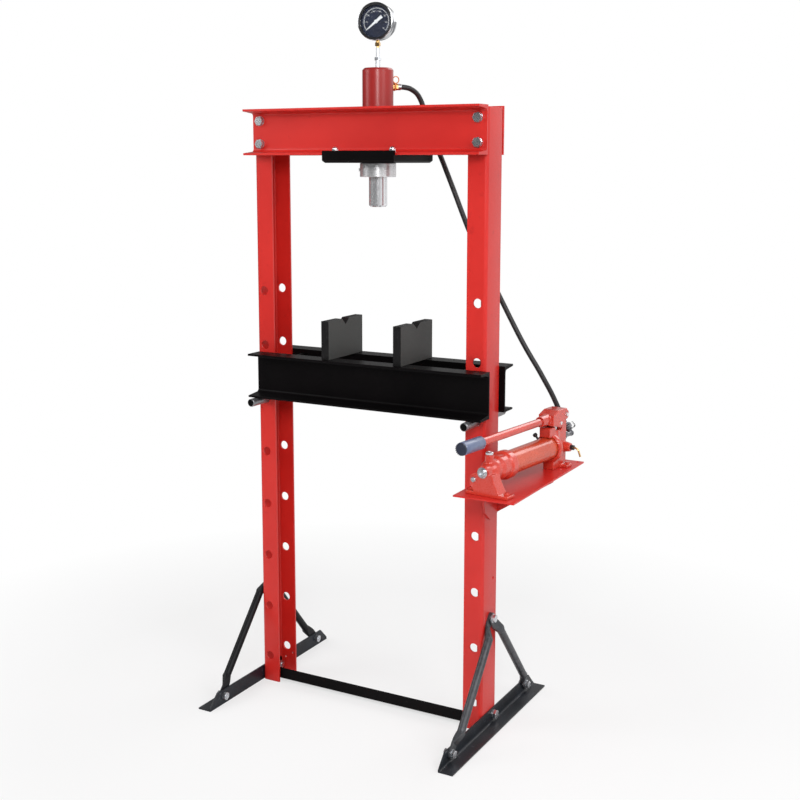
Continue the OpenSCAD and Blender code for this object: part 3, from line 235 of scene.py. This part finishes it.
finishSettings = {
    "frame_enamel": {
        "deep": (0.53, 0.016, 0.012), "light": (0.62, 0.024, 0.018), "grainScale": 260,
        "rough": (0.30, 0.42), "bump": 0.0003, "coat": 0.16, "coatRough": 0.1, "specular": 0.32,
        "speck": (0.36, 0.008, 0.007), "speckScale": 38, "speckFrom": 0.66, "speckStrength": 0.35,
    },
    "pump_enamel": {
        "deep": (0.52, 0.032, 0.018), "light": (0.62, 0.048, 0.026), "grainScale": 420,
        "rough": (0.22, 0.36), "bump": 0.0005, "coat": 0.6, "coatRough": 0.07, "toneScale": 12,
        "speck": (0.42, 0.016, 0.009), "speckScale": 60, "speckFrom": 0.64, "speckStrength": 0.4,
    },
    "black_enamel": {
        "deep": (0.0022, 0.0018, 0.0020), "light": (0.0050, 0.0040, 0.0044), "grainScale": 320,
        "rough": (0.30, 0.46), "bump": 0.0003, "specular": 0.07,
    },
    "block_grey": {
        "deep": (0.005, 0.0047, 0.0050), "light": (0.010, 0.0094, 0.0098), "grainScale": 520,
        "rough": (0.45, 0.62), "bump": 0.0004, "toneScale": 18, "specular": 0.2,
        "speck": (0.024, 0.023, 0.023), "speckScale": 110, "speckFrom": 0.63,
        # its +X faces are painted lighter grey: a painted reflection of the bright room on the black paint
        "faceAxis": "X", "faceColour": (0.052, 0.052, 0.050),
    },
    "foot_steel": {
        "deep": (0.003, 0.0045, 0.008), "light": (0.009, 0.013, 0.020), "grainScale": 240,
        "rough": (0.32, 0.5), "bump": 0.0005, "coat": 0.1, "toneScale": 14, "dust": 0.02, "specular": 0.3,
        "speck": (0.05, 0.056, 0.07), "speckScale": 70, "speckFrom": 0.64,
    },
    "galvanised": {
        "deep": (0.026, 0.027, 0.031), "light": (0.058, 0.060, 0.067), "grainScale": 300,
        "rough": (0.30, 0.44),
        "bump": 0.0003, "metal": 0.4, "cells": 120, "cellColour": (0.10, 0.104, 0.113), "cellStrength": 0.5,
    },
    "dark_tube": {
        "deep": (0.004, 0.004, 0.005), "light": (0.011, 0.011, 0.013), "grainScale": 260,
        "rough": (0.3, 0.45), "bump": 0.0004, "specular": 0.16,
    },
    "zinc": {
        "deep": (0.58, 0.60, 0.63), "light": (0.74, 0.76, 0.79), "grainScale": 700, "rough": (0.2, 0.36),
        "bump": 0.00015, "metal": 1, "toneScale": 60,
    },
    "machined_steel": {
        "deep": (0.66, 0.66, 0.67), "light": (0.82, 0.82, 0.83), "grainScale": 900, "rough": (0.24, 0.38),
        "bump": 0.00012, "metal": 0.7, "stretch": (0.12, 0.12, 3), "toneScale": 30,
    },
    "hard_chrome": {
        "deep": (0.70, 0.71, 0.73), "light": (0.82, 0.83, 0.85), "grainScale": 800, "rough": (0.12, 0.22),
        "bump": 0.00005, "metal": 0.75, "stretch": (0.3, 0.3, 2), "toneScale": 20,
    },
    "brass": {
        "deep": (0.60, 0.36, 0.13), "light": (0.78, 0.52, 0.22), "grainScale": 800, "rough": (0.2, 0.36),
        "bump": 0.0001, "metal": 1, "toneScale": 70,
    },
    "orange_cap": {
        "deep": (0.62, 0.16, 0.03), "light": (0.76, 0.24, 0.06), "grainScale": 900, "rough": (0.4, 0.55),
        "bump": 0.0001, "toneScale": 80,
    },
    "black_plastic": {
        "deep": (0.010, 0.010, 0.011), "light": (0.020, 0.020, 0.022), "grainScale": 1200,
        "rough": (0.3, 0.45), "bump": 0.0001, "toneScale": 60,
    },
    "grip_plastic": {
        "deep": (0.085, 0.115, 0.215), "light": (0.14, 0.175, 0.290), "grainScale": 900,
        "rough": (0.3, 0.45), "bump": 0.0002, "toneScale": 50, "coat": 0.2,
    },
    "black_rubber": {
        "deep": (0.008, 0.008, 0.009), "light": (0.018, 0.018, 0.020), "grainScale": 1400,
        "rough": (0.38, 0.55), "bump": 0.0002, "toneScale": 40,
    },
    "dial_face": {
        "deep": (0.006, 0.010, 0.030), "light": (0.012, 0.018, 0.048), "grainScale": 1500,
        "rough": (0.4, 0.5), "bump": 0.00004, "toneScale": 60,
    },
    "pointer_white": {
        "deep": (0.72, 0.74, 0.76), "light": (0.82, 0.83, 0.84), "grainScale": 1500, "rough": (0.35, 0.45),
        "bump": 0.00004, "toneScale": 90,
    },
    "lens": {
        "deep": (0.86, 0.90, 0.92), "light": (0.92, 0.95, 0.96), "grainScale": 60, "rough": (0.01, 0.03),
        "bump": 0.00001, "toneScale": 8,
    },
}
finishes = {name: makeFinish(name, settings) for name, settings in finishSettings.items()}


def varyFinish(name, slot, **changes):
    # a finish for one piece, worked from the finish of its slot with some settings changed; the barrel's
    # darker copy is painted shade and the gauge case's dark streaks are painted reflection
    return makeFinish(name, dict(finishSettings[slot], **changes))


tankFinish = varyFinish("tankEnamel", "pump_enamel", deep=(0.50, 0.052, 0.018), light=(0.61, 0.076, 0.026),
                        coat=0.4)
gripEndFinish = varyFinish("gripEnd", "grip_plastic", deep=(0.012, 0.016, 0.034), light=(0.022, 0.028, 0.052))
# a darker copy of the frame enamel for the cylinder barrel: painted shade for the barrel's dark sides
barrelShadedFinish = varyFinish("barrelPaintedShadeEnamel", "frame_enamel", deep=(0.27, 0.011, 0.010),
                          light=(0.34, 0.016, 0.014), rough=(0.30, 0.38), coat=0.25, coatRough=0.2,
                          specular=0.36)
couplerFinish = varyFinish("darkZinc", "zinc", deep=(0.10, 0.10, 0.11), light=(0.34, 0.34, 0.36))
# chrome with broad dark streaks painted on: a painted reflection of the dim room, so the case shows against
# the white
caseFinish = varyFinish("caseChrome", "hard_chrome", stretch=(1, 1, 0.25), speck=(0.03, 0.03, 0.04),
                        speckScale=46, speckFrom=0.50, speckStrength=0.85, metal=1)
pinFinish = varyFinish("pinSteel", "machined_steel", deep=(0.20, 0.20, 0.21), light=(0.34, 0.34, 0.35),
                       faceAxis="Y", faceColour=(0.004, 0.004, 0.004))

lensShader = finishes["lens"].node_tree.nodes["Principled BSDF"]
lensShader.inputs["Transmission Weight"].default_value = 1
lensShader.inputs["Alpha"].default_value = 0.22
lensShader.inputs["IOR"].default_value = 1.5

for part in frame["record"]["subparts"]:
    for place in nodes[part["node"]].material_slots:
        place.material = finishes[part["material_slot"]]
ownFinishes = {
    "pump_tank": tankFinish,
    "cylinder_barrel": barrelShadedFinish,
    "outlet_elbow": couplerFinish,
    "gauge_case": caseFinish,
    "support_pin_left": pinFinish,
    "support_pin_right": pinFinish,
    "release_spindle": finishes["black_plastic"],
}
for partName, finish in ownFinishes.items():
    nodes[partName].material_slots[0].material = finish
print("finishes made:", len(finishes))


# hose

hose = {
    "diameter": 0.0135,
    "route": [
        (50, 51, 1664), (53, 55, 1664), (60, 63, 1663), (66, 71, 1661), (71, 79, 1657),
        (75, 87, 1652), (78, 94, 1646), (80, 100, 1639), (82, 105, 1631), (84, 109, 1622),
        (86, 112, 1612), (90, 115, 1596), (96, 117, 1575), (106, 118, 1545), (118, 119, 1518),
        (134, 120, 1485), (153, 125, 1437), (172, 130, 1388), (190, 135, 1340), (209, 141, 1291),
        (230, 147, 1244), (251, 154, 1197), (273, 161, 1150), (296, 167, 1104), (322, 174, 1052),
        (349, 180, 1001), (371, 184, 964), (391, 189, 931), (409, 195, 898), (424, 202, 868),
        (436, 208, 840), (445, 214, 816), (452, 219, 798), (454, 220, 794),
    ],
    "ferrule": 0.009,
    "sleeveWall": 0.0015,
}
route = [Vector(point) / 1000 for point in hose["route"]]
hoseCurve = bpy.data.curves.new("hoseLine", "CURVE")
hoseCurve.dimensions = "3D"
hoseCurve.bevel_depth = hose["diameter"] / 2
hoseCurve.bevel_resolution = 5
hoseCurve.resolution_u = 8
hoseCurve.use_fill_caps = True
spline = hoseCurve.splines.new("BEZIER")
spline.bezier_points.add(len(route) - 1)
for knot, point in zip(spline.bezier_points, route):
    knot.co = point
    knot.handle_left_type = knot.handle_right_type = "AUTO"
hosePiece = bpy.data.objects.new("pressureHose", hoseCurve)
bpy.context.scene.collection.objects.link(hosePiece)
hoseCurve.materials.append(finishes["black_rubber"])
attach(hosePiece, "frame")
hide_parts("hose")

startWay = (route[1] - route[0]).normalized()
endWay = (route[-1] - route[-2]).normalized()
ferruleLength = hose["ferrule"]


def ferruleProfile(radius, length, grooves=3):
    # crimped sleeve: a tube outline with pressed grooves
    points = [(radius - 0.0014, 0), (radius - 0.0003, 0), (radius, 0.0004)]
    for index in range(grooves):
        middle = length * (index + 0.8) / (grooves + 0.6)
        points += [(radius, middle - 0.0007), (radius - 0.0006, middle), (radius, middle + 0.0007)]
    return points + [(radius, length - 0.0004), (radius - 0.0003, length), (radius - 0.0014, length)]


bm = bmesh.new()
sleeve = ferruleProfile(hose["diameter"] / 2 + hose["sleeveWall"], ferruleLength)
for origin, way in ((route[0] - ferruleLength * startWay, startWay), (route[-1], endWay)):
    addLathe(bm, [(0, 0)] + sleeve + [(0, ferruleLength)], placeAt(origin, way))
ferrules = pieceFrom(bm, "hoseSleeves", "frame", finishes["zinc"])
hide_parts("hose_ferrules")

bm = bmesh.new()
couplerProfile = [
    (0, 0), (0.0084, 0), (0.009, 0.0006), (0.009, 0.0046), (0.0118, 0.005), (0.0125, 0.0057),
    (0.0125, 0.0142), (0.0118, 0.015), (0.0095, 0.0153), (0.0095, 0.0174), (0.0085, 0.0178),
    (0.0085, 0.0186), (0.0095, 0.019), (0.0095, 0.0205), (0.009, 0.021), (0, 0.021),
]
addLathe(bm, couplerProfile, placeAt(route[-1] + ferruleLength * endWay, endWay), steps=72)
coupler = pieceFrom(bm, "hoseCoupler", "frame", couplerFinish)
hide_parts("hose_coupler")

# small chain that holds the coupler's dust cap
chain = {
    "links": 9,
    "wire": 0.00055,
    "linkRadius": 0.0021,
    "squash": 0.72,
    "offset": (0.012, -0.006, 0.004),  # of its upper end from the coupler's middle
    "bow": (0.009, -0.004),
    "drop": 0.017,
}
wireTurn = Matrix.Translation((chain["linkRadius"], 0, 0)) @ Matrix.Rotation(math.pi / 2, 4, "X")
linkShape = Matrix.Diagonal((1, chain["squash"], 1, 1))
chainStart = route[-1] + (ferruleLength + 0.010) * endWay + Vector(chain["offset"])
bm = bmesh.new()
for index in range(chain["links"]):
    share = index / (chain["links"] - 1)
    bow = math.sin(math.pi * share)
    middle = chainStart + Vector((0.004 + chain["bow"][0] * bow, chain["bow"][1] * bow,
                                  chain["drop"] * (share - 0.35)))
    lean = Matrix.Rotation(math.radians(20 - 50 * share), 4, "Y")
    turn = Matrix.Rotation(math.radians(90 * (index % 2)), 4, "Z") @ lean
    loop = bmesh.ops.create_circle(bm, segments=6, radius=chain["wire"], matrix=wireTurn)["verts"]
    edges = [edge for edge in bm.edges if edge.verts[0] in loop and edge.verts[1] in loop]
    bmesh.ops.spin(bm, geom=loop + edges, cent=(0, 0, 0), axis=(0, 0, 1), angle=2 * math.pi,
                   steps=14, use_merge=True, use_duplicate=False)
    placeFresh(bm, Matrix.Translation(middle) @ turn @ linkShape)
bmesh.ops.recalc_face_normals(bm, faces=bm.faces)
pieceFrom(bm, "couplerChain", "frame", finishes["dark_tube"], 80)


# steel pieces with eased edges

bodyOf = {part: body for body, parts in frame["record"]["behaviour"]["bodies"].items() for part in parts}
slotOf = {part["node"]: part["material_slot"] for part in frame["record"]["subparts"]}


def remakePart(bm, partName, sharpAngle=35):
    # a piece of the part's own body and finish, named leftPost for left_post
    words = partName.split("_")
    slot = slotOf[partName]
    return pieceFrom(bm, words[0] + "".join(word.title() for word in words[1:]), bodyOf[partName],
                     finishes[slot], sharpAngle)


easedEdges = {
    "left_post": 0.0008, "right_post": 0.0008, "head_channel_front": 0.0010, "head_channel_rear": 0.0010,
    "bolster_channel_front": 0.0010, "bolster_channel_rear": 0.0010, "v_block_left": 0.0009,
    "v_block_right": 0.0009, "left_foot": 0.0007, "right_foot": 0.0007, "base_rail": 0.0006,
    "pump_tray": 0.0007, "tray_bracket": 0.0009, "frame_bolts": 0.0008, "frame_nuts": 0.0007,
    "ram_plate_bolts": 0.0006, "pump_mount_bolts": 0.0006,
}
for partName, width in easedEdges.items():
    bm = copyPart(partName)
    bmesh.ops.dissolve_limit(bm, angle_limit=math.radians(0.4), verts=bm.verts, edges=bm.edges,
                             use_dissolve_boundaries=False)
    piece = remakePart(bm, partName)
    easing = piece.modifiers.new("easing", "BEVEL")
    easing.width = width
    easing.segments = 2
    easing.limit_method = "ANGLE"
    easing.angle_limit = math.radians(38)
    easing.use_clamp_overlap = True
    easing.harden_normals = True
    settleModifiers(piece)
    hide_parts(partName)
print("steel pieces eased:", len(easedEdges))


# castings: rounded all over, as from a sand mould

castings = {
    "pump_head": {"voxel": 0.0013, "smooth": 10},
    "tank_end_cap": {"voxel": 0.0013, "smooth": 7},
    "pump_lever": {"voxel": 0.0012, "smooth": 9},
}
for partName, setup in castings.items():
    piece = remakePart(copyPart(partName), partName, 180)
    skin = piece.modifiers.new("skin", "REMESH")
    skin.mode = "VOXEL"
    skin.voxel_size = setup["voxel"]
    skin.use_smooth_shade = True
    soften = piece.modifiers.new("soften", "SMOOTH")
    soften.factor = 0.5
    soften.iterations = setup["smooth"]
    settleModifiers(piece)
    piece.data.shade_smooth()
    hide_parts(partName)
print("castings softened:", len(castings))


# gauge

gauge = {
    "centre": (0.012, 0, 1.825),
    "turn": 10,
    "dialFront": -0.0111,
    "arcRadius": 0.0335,
    "sweep": (218, -42),  # degrees, from the start of the scale to its end
    "numbers": 8,
    "numberSize": 0.0052,
    "numberInset": 0.0074,
    "ink": 0.00012,  # height of the printed marks
    "longTick": (0.0036, 0.0006),  # length and width
    "shortTick": (0.0018, 0.0003),
    "ticksToNumber": 5,
}
gaugeFrame = Matrix.Translation(gauge["centre"]) @ Matrix.Rotation(math.radians(gauge["turn"]), 4, "Z")
faceFrame = gaugeFrame @ Matrix.Rotation(math.radians(90), 4, "X")  # local x right, y up, z out of the dial

bm = bmesh.new()
rimProfile = [
    (0.0451, 0.0125), (0.0462, 0.0122), (0.0472, 0.0128), (0.0475, 0.0140), (0.0475, 0.0205),
    (0.0472, 0.0217), (0.0464, 0.0225), (0.0454, 0.0227), (0.0451, 0.0220), (0.0451, 0.0125),
]
addLathe(bm, rimProfile, faceFrame, 96)
pieceFrom(bm, "gaugeRim", "frame", caseFinish)
bm = bmesh.new()
ringProfile = [
    (0.0405, 0.0132), (0.04505, 0.0132), (0.04505, 0.0222), (0.0442, 0.0232), (0.0424, 0.0236),
    (0.0410, 0.0228), (0.0405, 0.0212), (0.0405, 0.0132),
]
addLathe(bm, ringProfile, faceFrame, 96)
ring = pieceFrom(bm, "gaugeRing", "frame", finishes["black_plastic"])
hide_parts("gauge_bezel")

dialFrame = faceFrame @ Matrix.Translation((0, 0, -gauge["dialFront"]))
bm = bmesh.new()


def addArc(radius, width, startAngle, endAngle, steps):
    start = Matrix.Rotation(math.radians(startAngle), 4, "Z")
    inner, outer = radius - width / 2, radius + width / 2
    corners = [(inner, 0, 0), (outer, 0, 0), (outer, 0, gauge["ink"]), (inner, 0, gauge["ink"])]
    verts = [bm.verts.new(start @ Vector(corner)) for corner in corners]
    face = bm.faces.new(verts)
    bmesh.ops.spin(bm, geom=[face], cent=(0, 0, 0), axis=(0, 0, 1), angle=math.radians(endAngle - startAngle),
                   steps=steps, use_merge=False, use_duplicate=False)


def addTick(angle, length, width):
    cube = bmesh.ops.create_cube(bm, size=1)
    middle = Matrix.Translation((gauge["arcRadius"] - length / 2, 0, gauge["ink"] / 2))
    size = Matrix.Diagonal((length, width, gauge["ink"], 1))
    shape = Matrix.Rotation(math.radians(angle), 4, "Z") @ middle @ size
    bmesh.ops.transform(bm, matrix=shape, verts=cube["verts"])


firstAngle, lastAngle = gauge["sweep"]
addArc(gauge["arcRadius"], 0.0013, lastAngle, firstAngle, 96)
addArc(gauge["arcRadius"] - 0.0075, 0.0004, 55, 125, 24)
divisions = (gauge["numbers"] - 1) * gauge["ticksToNumber"]
for index in range(divisions + 1):
    angle = firstAngle + (lastAngle - firstAngle) * index / divisions
    tick = gauge["shortTick"] if index % gauge["ticksToNumber"] else gauge["longTick"]
    addTick(angle, *tick)
bmesh.ops.recalc_face_normals(bm, faces=bm.faces)
bmesh.ops.transform(bm, matrix=dialFrame, verts=bm.verts)
pieceFrom(bm, "dialScale", "frame", finishes["pointer_white"])

bm = bmesh.new()
for index in range(gauge["numbers"]):
    angle = math.radians(firstAngle + (lastAngle - firstAngle) * index / (gauge["numbers"] - 1))
    text = bpy.data.curves.new("dialNumber", "FONT")
    text.body = str(index * 10)
    text.size = gauge["numberSize"]
    text.align_x = "CENTER"
    text.align_y = "CENTER"
    text.extrude = gauge["ink"] / 2
    holder = bpy.data.objects.new("dialNumber", text)
    bpy.context.scene.collection.objects.link(holder)
    flat = bpy.data.meshes.new_from_object(holder.evaluated_get(bpy.context.evaluated_depsgraph_get()))
    bpy.data.objects.remove(holder)
    reach = gauge["arcRadius"] - gauge["numberInset"]
    middle = (reach * math.cos(angle), reach * math.sin(angle), gauge["ink"] / 2)
    flat.transform(dialFrame @ Matrix.Translation(middle))
    bm.from_mesh(flat)
pieceFrom(bm, "dialNumbers", "frame", finishes["pointer_white"])
print("gauge dial printed")


# handle grip, with a ribbed end

grip = {
    "start": -0.236, "length": 0.089, "radius": 0.016, "bore": 0.01005, "height": 0.134,
    "ribs": 20, "ribSize": (0.0018, 0.0022, 0.0040, 1),
}
gripFrame = placeAt(fromPump(0, grip["start"], grip["height"]), alongPump(0, -1, 0))
bm = bmesh.new()
radius, length = grip["radius"], grip["length"]
gripProfile = [
    (grip["bore"], 0), (radius - 0.003, 0), (radius - 0.0012, 0.0008), (radius, 0.003),
    (radius, length - 0.006), (radius - 0.0016, length - 0.0048),
]
addLathe(bm, gripProfile + [(grip["bore"], length - 0.0048), (grip["bore"], 0)], gripFrame, 64)
gripSleeve = pieceFrom(bm, "gripSleeve", "lever", finishes["grip_plastic"])
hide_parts("handle_grip")

bm = bmesh.new()
endProfile = [(0, length - 0.0046), (radius - 0.0022, length - 0.0046), (radius - 0.0016, length - 0.004),
              (radius - 0.0018, length - 0.0018), (radius - 0.003, length - 0.0006), (0, length - 0.0006)]
addLathe(bm, endProfile, gripFrame, 64)
for index in range(grip["ribs"]):
    rib = bmesh.ops.create_cube(bm, size=1)
    around = Matrix.Rotation(2 * math.pi * index / grip["ribs"], 4, "Z")
    middle = Matrix.Translation((radius - 0.0016, 0, length - 0.0026))
    shape = gripFrame @ around @ middle @ Matrix.Diagonal(grip["ribSize"])
    bmesh.ops.transform(bm, matrix=shape, verts=rib["verts"])
pieceFrom(bm, "gripEnd", "lever", gripEndFinish)
print("grip made")


# release lever, a bent round rod in a black collar

release = {
    "start": (0.039, 0.150, 0.054), "radius": 0.0024, "straight": 0.009, "bend": 0.013, "tip": 0.014,
    "dip": 20, "steps": 12, "sides": 20,
}
stations = [(0, 0, 0), (release["straight"], 0, 0)]
for index in range(1, release["steps"] + 1):
    angle = math.radians(90 - release["dip"]) * index / release["steps"]
    along = release["straight"] + release["bend"] * math.sin(angle)
    stations.append((along, release["bend"] * (math.cos(angle) - 1), angle))
lastX, lastZ, angle = stations[-1]
stations.append((lastX + release["tip"] * math.cos(angle), lastZ - release["tip"] * math.sin(angle), angle))
bm = bmesh.new()
rings = []
for x, z, angle in stations:
    place = Matrix.Translation((x, 0, z)) @ Matrix.Rotation(angle + math.pi / 2, 4, "Y")
    circle = bmesh.ops.create_circle(bm, segments=release["sides"], radius=release["radius"], matrix=place)
    rings.append(circle["verts"])
for near, far in zip(rings, rings[1:]):
    for index in range(release["sides"]):
        after = (index + 1) % release["sides"]
        bm.faces.new((near[index], near[after], far[after], far[index]))
bm.faces.new(rings[0])
bm.faces.new(rings[-1])
bmesh.ops.recalc_face_normals(bm, faces=bm.faces)
bmesh.ops.transform(bm, matrix=pumpFrame @ Matrix.Translation(release["start"]), verts=bm.verts)
releaseRod = pieceFrom(bm, "releaseRod", "release", finishes["brass"])
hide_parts("release_lever")
print("release lever made")


# plugs of the oil tank: drain plug with a socket, filler screw and bleed screw

plugs = [
    {"place": (0, -0.227, 0.058), "way": (0, -1, 0), "outline": [
        (0, -0.026), (0.0084, -0.026), (0.0084, 0), (0.0129, 0), (0.0135, 0.0006), (0.0135, 0.0024),
        (0.0129, 0.003), (0.0105, 0.003), (0.0105, 0.0068), (0.0095, 0.008), (0.0052, 0.008),
        (0.0046, 0.0074), (0.0044, 0.0025), (0, 0.002),
    ]},
    {"place": (0, -0.196, 0.097), "way": (0, 0, 1), "outline": [
        (0, -0.013), (0.0064, -0.013), (0.0064, 0), (0.0090, 0), (0.0095, 0.0008), (0.0095, 0.0052),
        (0.0080, 0.0068), (0.0045, 0.007), (0.0040, 0.0060), (0, 0.0058),
    ]},
    {"place": (-0.025, -0.226, 0.038), "way": (0, -1, 0), "outline": [
        (0, 0), (0.0065, 0), (0.0065, 0.0036), (0.0054, 0.0050), (0.0026, 0.0050), (0.0024, 0.0036),
        (0, 0.0034),
    ]},
]
bm = bmesh.new()
for plug in plugs:
    addLathe(bm, plug["outline"], placeAt(fromPump(*plug["place"]), alongPump(*plug["way"])))
tankPlugs = pieceFrom(bm, "tankPlugs", "frame", finishes["zinc"])
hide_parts("tank_plugs")
print("tank plugs made:", len(plugs))


# floor, light and background

studio = {
    "floorRadius": 3.0,
    "clearFrom": 0.9,
    "clearTo": 1.7,
    "nearGlow": 0.6,
    "paperTone": 0.8,
    "brightSide": (0.8, 0.6, 0),
    "brightReach": (-0.3, 0.9),
    "dimmest": 0.1,
    "ambient": 0.5,
    "lamps": [
        {"place": (1.5, -2.9, 2.3), "aim": (0, 0, 0.9), "size": 1.1, "power": 52},
        {"place": (3.0, -1.0, 2.8), "aim": (0, 0, 0.9), "size": 2.2, "power": 46},
        {"place": (-2.8, -2.0, 2.6), "aim": (0, 0, 0.9), "size": 2.2, "power": 40},
        {"place": (0.8, 3.0, 3.2), "aim": (0, 0, 1.0), "size": 2.4, "power": 40},
    ],
}


def addRamp(tree, value, reach, low):
    # rises from low to 1 over a reach of the value
    ramp = tree.nodes.new("ShaderNodeMapRange")
    ramp.inputs["From Min"].default_value, ramp.inputs["From Max"].default_value = reach
    ramp.inputs["To Min"].default_value = low
    ramp.inputs["To Max"].default_value = 1
    tree.links.new(value, ramp.inputs["Value"])
    return ramp.outputs["Result"]


def addShaderMix(tree, share, first, second):
    mix = tree.nodes.new("ShaderNodeMixShader")
    for socket, value in enumerate((share, first, second)):
        tree.links.new(value, mix.inputs[socket])
    return mix.outputs[0]


def addMaths(tree, operation, first, second):
    maths = tree.nodes.new("ShaderNodeMath")
    maths.operation = operation
    tree.links.new(first, maths.inputs[0])
    tree.links.new(second, maths.inputs[1])
    return maths.outputs[0]


bm = bmesh.new()
bmesh.ops.create_circle(bm, cap_ends=True, segments=96, radius=studio["floorRadius"])
floor = addObject("floor", meshFrom(bm, "floor"))

floorMaterial = bpy.data.materials.new("floorPaper")
floorMaterial.use_nodes = True
tree = floorMaterial.node_tree
tree.nodes.clear()
output = tree.nodes.new("ShaderNodeOutputMaterial")
paper = tree.nodes.new("ShaderNodeBsdfDiffuse")
paper.inputs["Color"].default_value = (*[studio["paperTone"]] * 3, 1)
white = tree.nodes.new("ShaderNodeEmission")
coordinate = tree.nodes.new("ShaderNodeTexCoord")
distance = tree.nodes.new("ShaderNodeVectorMath")
distance.operation = "LENGTH"
tree.links.new(coordinate.outputs["Object"], distance.inputs[0])
fade = addRamp(tree, distance.outputs["Value"], (studio["clearFrom"], studio["clearTo"]), studio["nearGlow"])
rays = tree.nodes.new("ShaderNodeLightPath")
seen = addMaths(tree, "MULTIPLY", rays.outputs["Is Camera Ray"], fade)
paperMix = addShaderMix(tree, seen, paper.outputs[0], white.outputs[0])
tree.links.new(paperMix, output.inputs["Surface"])
floor.data.materials.append(floorMaterial)

world = bpy.data.worlds.new("studio")
bpy.context.scene.world = world
world.use_nodes = True
tree = world.node_tree
tree.nodes.clear()
output = tree.nodes.new("ShaderNodeOutputWorld")
coordinate = tree.nodes.new("ShaderNodeTexCoord")
# the room is bright behind and to the right of the press, and dim in front of it
bright = tree.nodes.new("ShaderNodeVectorMath")
bright.operation = "DOT_PRODUCT"
bright.inputs[1].default_value = studio["brightSide"]
tree.links.new(coordinate.outputs["Generated"], bright.inputs[0])
across = addRamp(tree, bright.outputs["Value"], studio["brightReach"], studio["dimmest"])
rays = tree.nodes.new("ShaderNodeLightPath")
ambient = tree.nodes.new("ShaderNodeBackground")
reflected = tree.nodes.new("ShaderNodeBackground")
plain = tree.nodes.new("ShaderNodeBackground")
for background in (ambient, reflected, plain):
    background.inputs["Color"].default_value = (1, 1, 1, 1)
ambient.inputs["Strength"].default_value = studio["ambient"]
tree.links.new(across, reflected.inputs["Strength"])
gloss = addShaderMix(tree, rays.outputs["Is Glossy Ray"], ambient.outputs[0], reflected.outputs[0])
clear = addMaths(tree, "MAXIMUM", rays.outputs["Is Camera Ray"], rays.outputs["Is Transmission Ray"])
tree.links.new(addShaderMix(tree, clear, gloss, plain.outputs[0]), output.inputs["Surface"])

for index, lamp in enumerate(studio["lamps"]):
    light = bpy.data.lights.new("softbox" + str(index), "AREA")
    light.shape = "DISK"
    light.size = lamp["size"]
    light.energy = lamp["power"]
    holder = bpy.data.objects.new("softbox" + str(index), light)
    bpy.context.scene.collection.objects.link(holder)
    holder.location = lamp["place"]
    holder.rotation_euler = (Vector(lamp["aim"]) - Vector(lamp["place"])).to_track_quat("-Z", "Y").to_euler()
print("studio lit")
